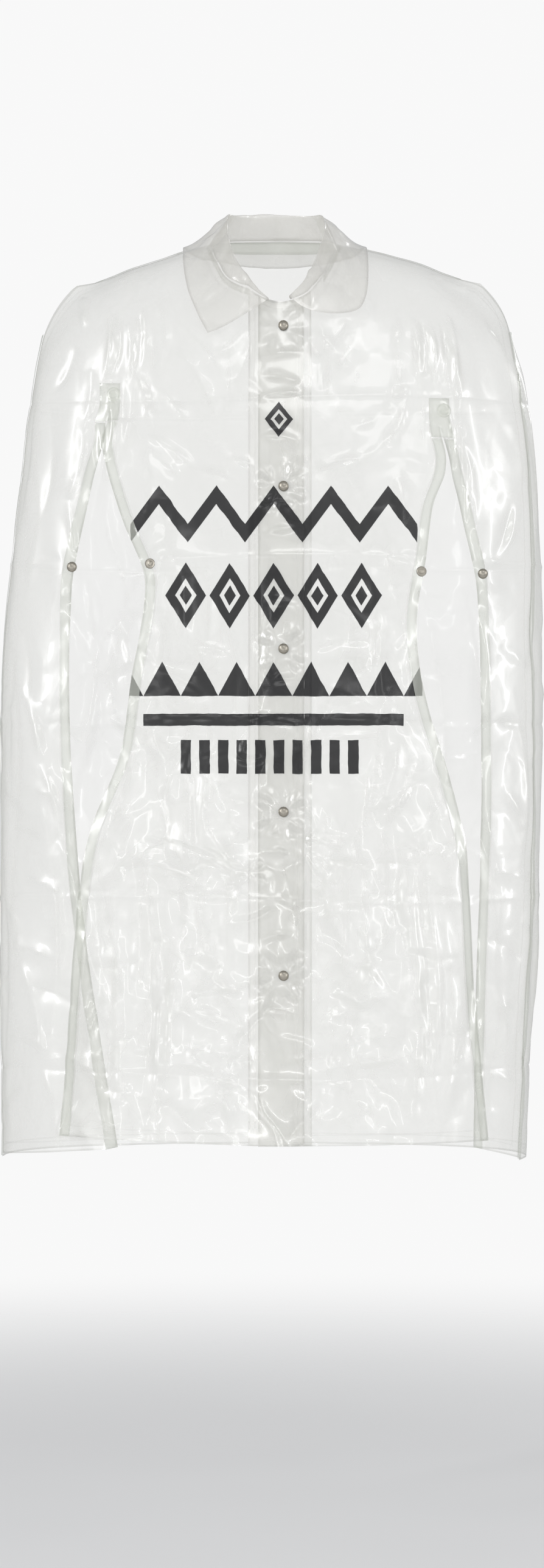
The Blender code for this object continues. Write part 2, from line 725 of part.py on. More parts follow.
def add_snap(name, grid, column, height, side_out, aside, radius, profile, material, collection):
    """A snap's disc on a facing that lies on a panel: side_out is 1 outside and -1 inside."""
    point, normal = place_on(grid, column, height)
    shift = np.array([aside, 0.0, 0.0])
    shift -= normal * (shift @ normal)
    seat = WALL / 2 + GAP + TAPE + SEAT_GAP
    centre = point + shift + normal * side_out * seat
    add_round(name, centre, normal * side_out, radius, profile, material, collection)


def build_slit(front, word, collection):
    """The facings, the patch, the ring and the open snap of one arm slit."""
    dense = film("facing film", (0.84, 0.84, 0.82), 0.5, 0.2)
    metal = film("snap metal", (0.62, 0.6, 0.56), 1.0, 0.32, 1.0)
    side, top, turned = front.side, front.slit_row, front.side < 0
    inner, outer, joined = front.inner, front.outer, front.joined()
    over, lip = WALL / 2 + GAP, front.inner.shape[1] - 1
    ring, snap = SLIT_TOP[side] + RING_ABOVE_SLIT, SLIT_SNAP_HEIGHT[side]
    below = slice(top + 1, None)
    patch_end = joined[top] + PATCH_OVER_SLIT * (joined[top + 1] - joined[top])
    patched = np.concatenate([joined[: top + 1], [patch_end]])
    for name, grid, rows, columns in (
        ("facing_inner", inner, below, slice(-2, None)),
        ("facing_outer", outer, below, slice(0, 2)),
        ("patch", patched, slice(top - 2, None), slice(lip - 1, lip + 2)),
    ):
        piece = f"slit_{name}_{word}"
        add_strip(piece, grid, rows, columns, over, dense.copy(), collection, turned)
    for name, grid, column, height, aside, radius, profile, finish in (
        ("ring", joined[: top + 1], lip, ring, 0, RING_RADIUS, RING_PROFILE, dense),
        ("socket", outer[top + 1 :], 0, snap, side, SNAP_RADIUS, CAP_PROFILE, metal),
        ("stud", inner[top + 1 :], -1, snap, -side, SNAP_RADIUS, STUD_PROFILE, metal),
    ):
        inset = aside * SLIT_SNAP_INSET
        piece = f"slit_{name}_{word}"
        add_snap(piece, grid, column, height, 1, inset, radius, profile, finish.copy(), collection)


def build_fronts(collection):
    """Both fronts, with their slits, neck facings, snap band, underlap and snaps."""
    clear = film("front film", (0.86, 0.87, 0.87), 0.35, 0.18)
    dense = film("band film", (0.84, 0.84, 0.82), 0.5, 0.2)
    metal = film("snap metal", (0.62, 0.6, 0.56), 1.0, 0.32, 1.0)
    fronts = {-1: Front(-1, BAND_EDGES, 0.0), 1: Front(1, UNDERLAP_EDGES, LAYER_STEP)}
    over = WALL / 2 + GAP
    for side, word in ((-1, "right"), (1, "left")):  # the wearer's
        front, turned = fronts[side], side < 0
        parts = [front.inner, front.outer]
        normals = [grid_normals(part) for part in parts]
        add_sheet(
            f"front_{word}", parts, normals, clear.copy(), collection, WALL, True, turned
        )
        build_slit(front, word, collection)
        band = len(front.edges)
        neck = slice(band - 1 + (side > 0), band + NECK_COLUMNS)
        piece = f"neck_facing_{word}"
        add_strip(
            piece, front.inner, slice(0, 2), neck, -over, dense.copy(), collection, turned
        )
    rows, width = slice(0, None), slice(0, len(BAND_EDGES))
    upper, under = fronts[-1].inner, fronts[1].inner
    add_strip("snap_band", upper, rows, width, over, dense.copy(), collection, True)
    add_strip("snap_underlap", under, rows, width, -over, dense.copy(), collection, False)
    for i in range(SNAPS):
        height = FIRST_SNAP - i * SNAP_STEP
        for name, grid, side_out, radius, profile in (
            ("cap", upper, 1, SNAP_RADIUS, CAP_PROFILE),
            ("stud", under, -1, STUD_RADIUS, STUD_PROFILE),
        ):
            piece = f"snap_{name}_{i + 1}"
            add_snap(
                piece, grid, 1, height, side_out, 0, radius, profile, metal.copy(), collection
            )
    return fronts


def build_back(collection):
    """The back and its neck facing."""
    back = back_points()
    clear = film("back film", (0.86, 0.87, 0.87), 0.35, 0.18)
    dense = film("back facing film", (0.84, 0.84, 0.82), 0.5, 0.2)
    add_sheet("back", [back], [grid_normals(back)], clear, collection)
    over = WALL / 2 + GAP
    columns = slice(BACK_SHOULDER_COLUMNS, -BACK_SHOULDER_COLUMNS)
    add_strip("neck_facing_back", back, slice(0, 2), columns, -over, dense, collection)
    return back


def build_seams(fronts, back, collection):
    """The welded tapes over the shoulder seams and the side seams."""
    dense = film("seam film", (0.83, 0.83, 0.8), 0.5, 0.22)
    for side, word in ((-1, "right"), (1, "left")):
        outer = fronts[side].outer
        edge = 0 if side > 0 else -1
        inward = 1 if side > 0 else -2
        rows = slice(SIDE_TAPE_FIRST_ROW, None)
        seam = 0.5 * (outer[rows, -1] + back[rows, edge])
        seam_tape(
            f"side_seam_{word}",
            seam,
            outer[rows, -2] - outer[rows, -1],
            back[rows, inward] - back[rows, edge],
            CORNER_TAPE_LIFT * (1 - np.arange(CORNER_TAPE_ROWS) / CORNER_TAPE_ROWS),
            dense.copy(),
            collection,
        )
        points = smooth_line(SHOULDERS[side], OUTER_COLUMNS + 1) * np.array([side, 1, 1])
        points = points[1:-1]
        front_lean = outer[1, 0:-1] - outer[0, 0:-1]
        back_lean = np.tile([0.0, 1.0, -0.15], (len(points), 1))
        seam_tape(
            f"shoulder_seam_{word}",
            points,
            front_lean[: len(points)],
            back_lean,
            np.zeros(0),
            dense.copy(),
            collection,
        )


def build_collar(fronts, back, collection):
    """The collar, folded over from the neck seam."""
    grids = [f.inner for f in fronts.values()] + [f.outer for f in fronts.values()] + [back]
    points = collar_points(fronts, back, body_tree(grids))
    material = film("collar film", (0.82, 0.82, 0.79), 0.5, 0.2)
    add_sheet("collar", [points], [collar_normals(points)], material, collection, COLLAR_WALL)


def main():
    """Clear the scene and build the garment."""
    for old in list(bpy.data.objects):
        bpy.data.objects.remove(old)
    collection = bpy.data.collections.new("poncho_jacket")
    bpy.context.scene.collection.children.link(collection)
    fronts = build_fronts(collection)
    back = build_back(collection)
    build_seams(fronts, back, collection)
    build_collar(fronts, back, collection)


main()
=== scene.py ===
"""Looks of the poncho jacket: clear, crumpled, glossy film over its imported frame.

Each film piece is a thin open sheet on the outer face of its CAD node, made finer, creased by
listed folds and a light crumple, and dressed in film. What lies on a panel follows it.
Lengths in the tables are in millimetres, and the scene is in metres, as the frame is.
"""

import logging
import math
from dataclasses import dataclass, field
from enum import Enum

import bmesh
import bpy
import numpy as np
from mathutils import Matrix, Vector, noise
from mathutils.kdtree import KDTree


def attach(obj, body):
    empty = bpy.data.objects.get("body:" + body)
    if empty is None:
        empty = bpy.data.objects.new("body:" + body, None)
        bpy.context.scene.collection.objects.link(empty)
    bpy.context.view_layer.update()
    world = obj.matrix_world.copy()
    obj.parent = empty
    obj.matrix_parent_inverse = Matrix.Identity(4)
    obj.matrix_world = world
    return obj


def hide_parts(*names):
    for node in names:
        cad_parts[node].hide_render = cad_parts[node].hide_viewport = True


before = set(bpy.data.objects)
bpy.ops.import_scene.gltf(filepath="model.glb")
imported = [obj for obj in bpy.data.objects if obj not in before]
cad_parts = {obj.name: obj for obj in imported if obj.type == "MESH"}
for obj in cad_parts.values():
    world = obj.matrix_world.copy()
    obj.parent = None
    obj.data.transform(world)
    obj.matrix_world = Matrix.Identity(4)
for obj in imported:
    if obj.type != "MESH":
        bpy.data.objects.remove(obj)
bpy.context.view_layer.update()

MM = 0.001
BODY = "root"
LOG = logging.getLogger("poncho_jacket")


class Slot(Enum):
    """The record's material slots."""

    CLEAR = "clear_film"
    DENSE = "dense_film"
    METAL = "snap_metal"


class Hang(Enum):
    HUNG = "hung"
    LAID = "laid"
    FOLDED = "folded"


# --- shader maths -----------------------------------------------------------------------------


class Value:
    """A number on a shader socket. Arithmetic on it adds Math nodes."""

    def __init__(self, nodes: "Nodes", socket: bpy.types.NodeSocket) -> None:
        """Wrap a socket.

        Args:
            nodes: The tree that the socket is in.
            socket: The output that gives the number.
        """
        self.nodes, self.socket = nodes, socket

    def math(self, operation: str, *operands: "Value | float") -> "Value":
        """Add a Math node.

        Args:
            operation: The node's operation.
            *operands: All that it works on, in order.

        Returns:
            The node's result.
        """
        return self.nodes.value(
            "ShaderNodeMath", {"operation": operation}, dict(enumerate(operands))
        )

    def __add__(self, other: "Value | float") -> "Value":
        """Add."""
        return self.math("ADD", self, other)

    def __radd__(self, other: float) -> "Value":
        """Add to a plain number."""
        return self.math("ADD", other, self)

    def __sub__(self, other: "Value | float") -> "Value":
        """Subtract."""
        return self.math("SUBTRACT", self, other)

    def __rsub__(self, other: float) -> "Value":
        """Subtract from a plain number."""
        return self.math("SUBTRACT", other, self)

    def __mul__(self, other: "Value | float") -> "Value":
        """Multiply."""
        return self.math("MULTIPLY", self, other)

    def __rmul__(self, other: float) -> "Value":
        """Multiply a plain number."""
        return self.math("MULTIPLY", other, self)

    def __truediv__(self, other: "Value | float") -> "Value":
        """Divide."""
        return self.math("DIVIDE", self, other)

    def __abs__(self) -> "Value":
        """The size without its sign."""
        return self.math("ABSOLUTE", self)

    def __lt__(self, other: "Value | float") -> "Value":
        """1 where it is less."""
        return self.math("LESS_THAN", self, other)

    def __gt__(self, other: "Value | float") -> "Value":
        """1 where it is greater."""
        return self.math("GREATER_THAN", self, other)

    def fraction(self) -> "Value":
        """What is left above the whole number below."""
        return self.math("FRACT", self)

    def either(self, other: "Value | float") -> "Value":
        """The greater of two."""
        return self.math("MAXIMUM", self, other)

    def capped(self, other: "Value | float") -> "Value":
        """The lesser of two."""
        return self.math("MINIMUM", self, other)

    def power(self, exponent: float) -> "Value":
        """Raise to a power."""
        return self.math("POWER", self, exponent)

    def within(self, low: float, high: float) -> "Value":
        """1 between two limits."""
        return (self > low) * (self < high)

    def spread(self, low: float, high: float, start: float, end: float) -> "Value":
        """Map a range smoothly onto another, without leaving it.

        Args:
            low: Where the range starts.
            high: Where it ends.
            start: The result at low.
            end: The result at high.

        Returns:
            The mapped number.
        """
        return self.nodes.value(
            "ShaderNodeMapRange",
            {"interpolation_type": "SMOOTHSTEP"},
            {"Value": self, "From Min": low, "From Max": high, "To Min": start, "To Max": end},
            "Result",
        )


class Nodes:
    """The node tree of one material, with its Principled shader."""

    def __init__(self, name: str) -> None:
        """Start a material.

        Args:
            name: The material's name.
        """
        self.material = bpy.data.materials.new(name)
        self.material.use_nodes = True
        self.tree = self.material.node_tree
        self.shader = self.tree.nodes["Principled BSDF"]

    def add(self, kind: str, settings: dict, sockets: dict) -> bpy.types.Node:
        """Add any node.

        Args:
            kind: The node's type.
            settings: Its own settings. "stops" are a ramp's places and colours.
            sockets: The values or links of its inputs, by name or number.

        Returns:
            The node.
        """
        node = self.tree.nodes.new(kind)
        for key, value in settings.items():
            if key == "stops":
                ramp = node.color_ramp.elements
                while len(ramp) < len(value):
                    ramp.new(0.5)
                for stop, (place, colour) in zip(ramp, value):
                    stop.position, stop.color = place, colour
            else:
                setattr(node, key, value)
        self.feed(node, sockets)
        return node

    def feed(self, node: bpy.types.Node, sockets: dict) -> None:
        """Set or link a node's inputs.

        Args:
            node: The node.
            sockets: The values or links, by name or number.
        """
        for key, value in sockets.items():
            source = value.socket if isinstance(value, Value) else value
            if isinstance(source, bpy.types.NodeSocket):
                self.tree.links.new(source, node.inputs[key])
            else:
                node.inputs[key].default_value = source

    def value(self, kind: str, settings: dict, sockets: dict, output: str | int = 0) -> Value:
        """Add a node that gives a number.

        Args:
            kind: The node's type.
            settings: Its own settings.
            sockets: The values or links of its inputs.
            output: The output's name or number.

        Returns:
            The number.
        """
        return Value(self, self.add(kind, settings, sockets).outputs[output])

    def attribute(self, name: str) -> Value:
        """A number that the mesh carries at its points."""
        return self.value("ShaderNodeAttribute", {"attribute_name": name}, {}, "Fac")

    def place(self) -> bpy.types.NodeSocket:
        """The point's own place, in metres."""
        return self.add("ShaderNodeTexCoord", {}, {}).outputs["Object"]

    def stretched(self, place: bpy.types.NodeSocket, scale: tuple, turn: tuple) -> object:
        """Turn and stretch a place, so that a pattern runs one way.

        Args:
            place: The place.
            scale: How much along each axis.
            turn: The turn about each axis, in degrees.

        Returns:
            The changed place's socket.
        """
        angles = tuple(math.radians(a) for a in turn)
        sockets = {"Vector": place, "Scale": scale, "Rotation": angles}
        return self.add("ShaderNodeMapping", {}, sockets).outputs["Vector"]

    def ridges(self, place: object, scale: float, detail: float, warp: float) -> Value:
        """A crumpled pattern of ridges, about 0 to 1."""
        return self.value(
            "ShaderNodeTexNoise",
            {"noise_type": "RIDGED_MULTIFRACTAL", "normalize": True},
            {"Vector": place, "Scale": scale, "Detail": detail, "Distortion": warp},
        )

    def cloud(self, place: object, scale: float, detail: float) -> Value:
        """A soft, even pattern, 0 to 1."""
        return self.value(
            "ShaderNodeTexNoise", {}, {"Vector": place, "Scale": scale, "Detail": detail}
        )

    def facets(self, place: object, scale: float) -> Value:
        """How far a place is from the edges of sharp-sided cells, in cells."""
        return self.value(
            "ShaderNodeTexVoronoi",
            {"feature": "DISTANCE_TO_EDGE"},
            {"Vector": place, "Scale": scale},
            "Distance",
        )

    def mixed(self, share: Value, one: tuple, other: tuple) -> bpy.types.NodeSocket:
        """A colour between two.

        Args:
            share: How much of the other.
            one: The colour at 0.
            other: The colour at 1.

        Returns:
            The mixed colour's socket.
        """
        sockets = {0: share, 6: (*one, 1.0), 7: (*other, 1.0)}
        return self.add("ShaderNodeMix", {"data_type": "RGBA"}, sockets).outputs[2]

    def bumped(self, height: Value, distance: float, strength: float) -> bpy.types.NodeSocket:
        """The normal of a surface raised by a height."""
        sockets = {"Height": height, "Distance": distance, "Strength": strength}
        return self.add("ShaderNodeBump", {}, sockets).outputs["Normal"]


# --- finishes ---------------------------------------------------------------------------------


@dataclass(frozen=True)
class Ornament:
    """Plain black shapes printed on the film, in rows from the chest to the hips.

    Attributes:
        low: The least X that is printed.
        high: The greatest X that is printed.
    """

    low: float
    high: float

    def zigzag(self, x: Value, z: Value) -> Value:
        """A wide zigzag band over the chest."""
        wave = abs((x / 68.0 + 100.0).fraction() - 0.5) * 2.0
        return (abs(z + 316.0 - (wave - 0.5) * 46.0) < 11.0) * x.within(-170.0, 170.0)

    def diamonds(self, x: Value, z: Value) -> Value:
        """Diamonds with hollow hearts, under the zigzag."""
        across = abs((x / 52.0 + 100.5).fraction() - 0.5) * 52.0 / 24.0
        away = across + abs(z + 413.0) / 39.0
        heart = away.within(0.3, 0.52)
        return (away < 1.0) * (1.0 - heart) * x.within(-130.0, 130.0)

    def teeth(self, x: Value, z: Value) -> Value:
        """A row of triangles that point up and down by turns."""
        wave = abs((x / 44.0 + 100.0).fraction() - 0.5) * 2.0
        rise = (z + 532.0) / 44.0
        return (rise < wave * 0.92) * z.within(-532.0, -488.0) * x.within(-176.0, 176.0)

    def bars(self, x: Value, z: Value) -> Value:
        """A rule with a row of upright bars below it."""
        bar = (x / 22.0 + 100.0).fraction() < 0.56
        low = bar * z.within(-624.0, -584.0) * x.within(-110.0, 110.0)
        return low.either(z.within(-567.0, -553.0) * x.within(-154.0, 154.0))

    def heart(self, x: Value, z: Value) -> Value:
        """A small diamond on the band, below the second snap's level."""
        away = abs(x - 6.0) / 17.0 + abs(z + 203.0) / 21.0
        return (away < 1.0) * (1.0 - away.within(0.34, 0.58))

    def mask(self, nodes: Nodes, place: bpy.types.NodeSocket) -> Value:
        """1 where the film is printed.

        Args:
            nodes: The tree.
            place: The point's own place.

        Returns:
            The mask.
        """
        parts = nodes.add("ShaderNodeSeparateXYZ", {}, {"Vector": place})
        waver = nodes.cloud(place, 55.0, 2.0) * 2.4 - 1.2
        x = Value(nodes, parts.outputs["X"]) * 1000.0 + waver
        z = Value(nodes, parts.outputs["Z"]) * 1000.0 + waver
        shapes = self.zigzag(x, z).either(self.diamonds(x, z)).either(self.teeth(x, z))
        shapes = shapes.either(self.bars(x, z)).either(self.heart(x, z))
        return shapes * x.within(self.low, self.high)


@dataclass(frozen=True)
class Film:
    """Clear soft film: milkier and denser where it is doubled, creased or cut, with painted shade and
    painted highlight in the colour of its creases and painted shade along its cut edge.

    Attributes:
        name: The material's name.
        tint: Its colour where it is flat.
        crease_tint_and_painted_light: Its colour in creases: darker than the tint on the clear films as
            painted shade, lighter on the denser films as whitened film with a painted highlight.
        alpha: How much of what is behind a flat place it hides.
        crumple: How high its fine crumple is, in millimetres.
        weld: How far its welded line is from its edge, in millimetres.
        rim: How much its cut edge shows.
        print: What is printed on it.
    """

    name: str
    tint: tuple = (0.8, 0.8, 0.735)
    crease_tint_and_painted_light: tuple = (0.78, 0.785, 0.72)
    alpha: float = 0.24
    crumple: float = 0.5
    weld: float = 13.0
    rim: float = 0.28
    print: Ornament | None = None

    def heights(self, nodes: Nodes, place: bpy.types.NodeSocket) -> tuple[Value, Value]:
        """The film's fine crumple and its embossed grid.

        Args:
            nodes: The tree.
            place: The point's own place.

        Returns:
            The crumple, about 0 to 1, and all heights together.
        """
        tall = nodes.stretched(place, (1.0, 1.0, 0.55), (0, 12, 0))
        broad = nodes.ridges(tall, 11.0, 2.0, 0.5)
        flat = nodes.stretched(place, (1.0, 1.0, 1.7), (0, -18, 0))
        fine = nodes.ridges(flat, 34.0, 1.0, 0.3)
        cells = nodes.facets(tall, 30.0).capped(0.22)
        patches = nodes.cloud(place, 7.0, 1.0).spread(0.42, 0.66, 0.15, 1.0)
        crumple = broad * 0.6 + fine * patches * 0.2 + cells * patches * 0.8
        parts = nodes.add("ShaderNodeSeparateXYZ", {}, {"Vector": place})
        along = abs((Value(nodes, parts.outputs["X"]) * 420.0 + 500.0).fraction() - 0.5)
        down = abs((Value(nodes, parts.outputs["Z"]) * 420.0 + 500.0).fraction() - 0.5)
        grid = along.either(down)
        return crumple, crumple + grid * 0.012

    def material(self) -> bpy.types.Material:
        """The film as a material."""
        nodes = Nodes(self.name)
        place = nodes.place()
        crumple, height = self.heights(nodes, place)
        crease = nodes.attribute("crease")
        edge = nodes.attribute("edge")
        rim = edge.spread(0.0012, 0.0032, 1.0, 0.0)
        weld = abs(edge - self.weld * MM).spread(0.0004, 0.0014, 0.4, 0.0)
        grazing = nodes.value("ShaderNodeLayerWeight", {}, {"Blend": 0.5}, "Facing").power(3.0)
        # Creases are milkier and denser, and their colour change is painted light: painted shade on the
        # clear films, whitened film with a painted highlight on the denser ones.
        milk_and_painted_light = (crease * 0.8 + crumple.spread(0.45, 0.95, 0.0, 0.5)).capped(1.0)
        lines = rim.either(weld)
        alpha = self.alpha + milk_and_painted_light * 0.3 + lines * self.rim + grazing * 0.5
        roughness = 0.2 + nodes.cloud(place, 24.0, 2.0) * 0.2
        colour = nodes.mixed(milk_and_painted_light, self.tint, self.crease_tint_and_painted_light)
        # Darker colour at the cut edge is painted shade; along the weld line it is the weld's own mark.
        shade = tuple(c * 0.78 for c in self.tint)
        colour = nodes.add(
            "ShaderNodeMix", {"data_type": "RGBA"}, {0: lines, 6: colour, 7: (*shade, 1.0)}
        ).outputs[2]
        nodes.feed(
            nodes.shader,
            {
                "Base Color": colour,
                "Alpha": alpha.capped(0.97),
                "Roughness": roughness,
                "IOR": 2.1,
                "Specular IOR Level": 0.9,
                "Coat Weight": 0.8,
                "Coat Roughness": 0.08,
                "Coat IOR": 1.8,
                "Normal": nodes.bumped(height, self.crumple * MM * 4, 1.0),
            },
        )
        if self.print:
            self.add_ink(nodes, place)
        return nodes.material

    def add_ink(self, nodes: Nodes, place: bpy.types.NodeSocket) -> None:
        """Print the ornament over the film in dull black ink, worn along its ridges.

        Args:
            nodes: The film's tree.
            place: The point's own place.
        """
        ridges = nodes.ridges(place, 60.0, 2.0, 0.4)
        ink = nodes.add(
            "ShaderNodeBsdfPrincipled",
            {},
            {
                "Base Color": nodes.mixed(ridges, (0.008, 0.008, 0.009), (0.02, 0.02, 0.021)),
                "Roughness": 0.24,
                "IOR": 1.55,
                "Normal": nodes.bumped(ridges, 0.0006, 0.6),
            },
        )
        worn = ridges.spread(0.8, 0.97, 0.97, 0.72)
        both = nodes.add(
            "ShaderNodeMixShader",
            {},
            {
                0: self.print.mask(nodes, place) * worn,
                1: nodes.shader.outputs[0],
                2: ink.outputs[0],
            },
        )
        nodes.feed(nodes.tree.nodes["Material Output"], {"Surface": both.outputs[0]})


@dataclass(frozen=True)
class Nickel:
    """Dull nickel, darker low down: painted shade, with some grime in its grooves.

    Attributes:
        name: The material's name.
        colour: The metal's colour on its raised places.
        groove: Its colour low down: painted shade, with some grime in the groove.
    """

    name: str
    colour: tuple = (0.47, 0.44, 0.38)
    groove: tuple = (0.05, 0.046, 0.039)

    def material(self) -> bpy.types.Material:
        """The metal as a material."""
        nodes = Nodes(self.name)
        place = nodes.place()
        rise = nodes.attribute("rise")
        scratches = nodes.ridges(nodes.stretched(place, (1, 1, 6), (0, 35, 0)), 420.0, 3.0, 0.2)
        # Darker and rougher low on the piece: painted shade, with some grime in the groove.
        soil_and_shade = rise.spread(0.05, 0.62, 0.95, 0.0)
        nodes.feed(
            nodes.shader,
            {
                "Base Color": nodes.mixed(soil_and_shade, self.colour, self.groove),
                "Metallic": 1.0,
                "Roughness": 0.32 + scratches * 0.16 + soil_and_shade * 0.2,
                "Normal": nodes.bumped(scratches, 0.00004, 0.5),
            },
        )
        return nodes.material


@dataclass(frozen=True)
class Paper:
    """The studio's plain pale floor and backdrop.

    Attributes:
        name: The material's name.
        colour: Its colour.
    """

    name: str = "studio paper"
    colour: tuple = (0.9, 0.9, 0.9)

    def material(self) -> bpy.types.Material:
        """The paper as a material."""
        nodes = Nodes(self.name)
        shade = nodes.cloud(nodes.place(), 3.0, 1.0).spread(0.3, 0.7, 0.0, 1.0)
        other = tuple(c * 0.99 for c in self.colour)
        away = nodes.value("ShaderNodeVectorMath", {"operation": "LENGTH"}, {0: nodes.place()}, "Value")
        nodes.feed(
            nodes.shader,
            {
                "Base Color": nodes.mixed(shade, self.colour, other),
                "Roughness": 0.9,
                "Alpha": away.spread(1.7, 3.2, 1.0, 0.0),
            },
        )
        return nodes.material


# --- the creases ------------------------------------------------------------------------------

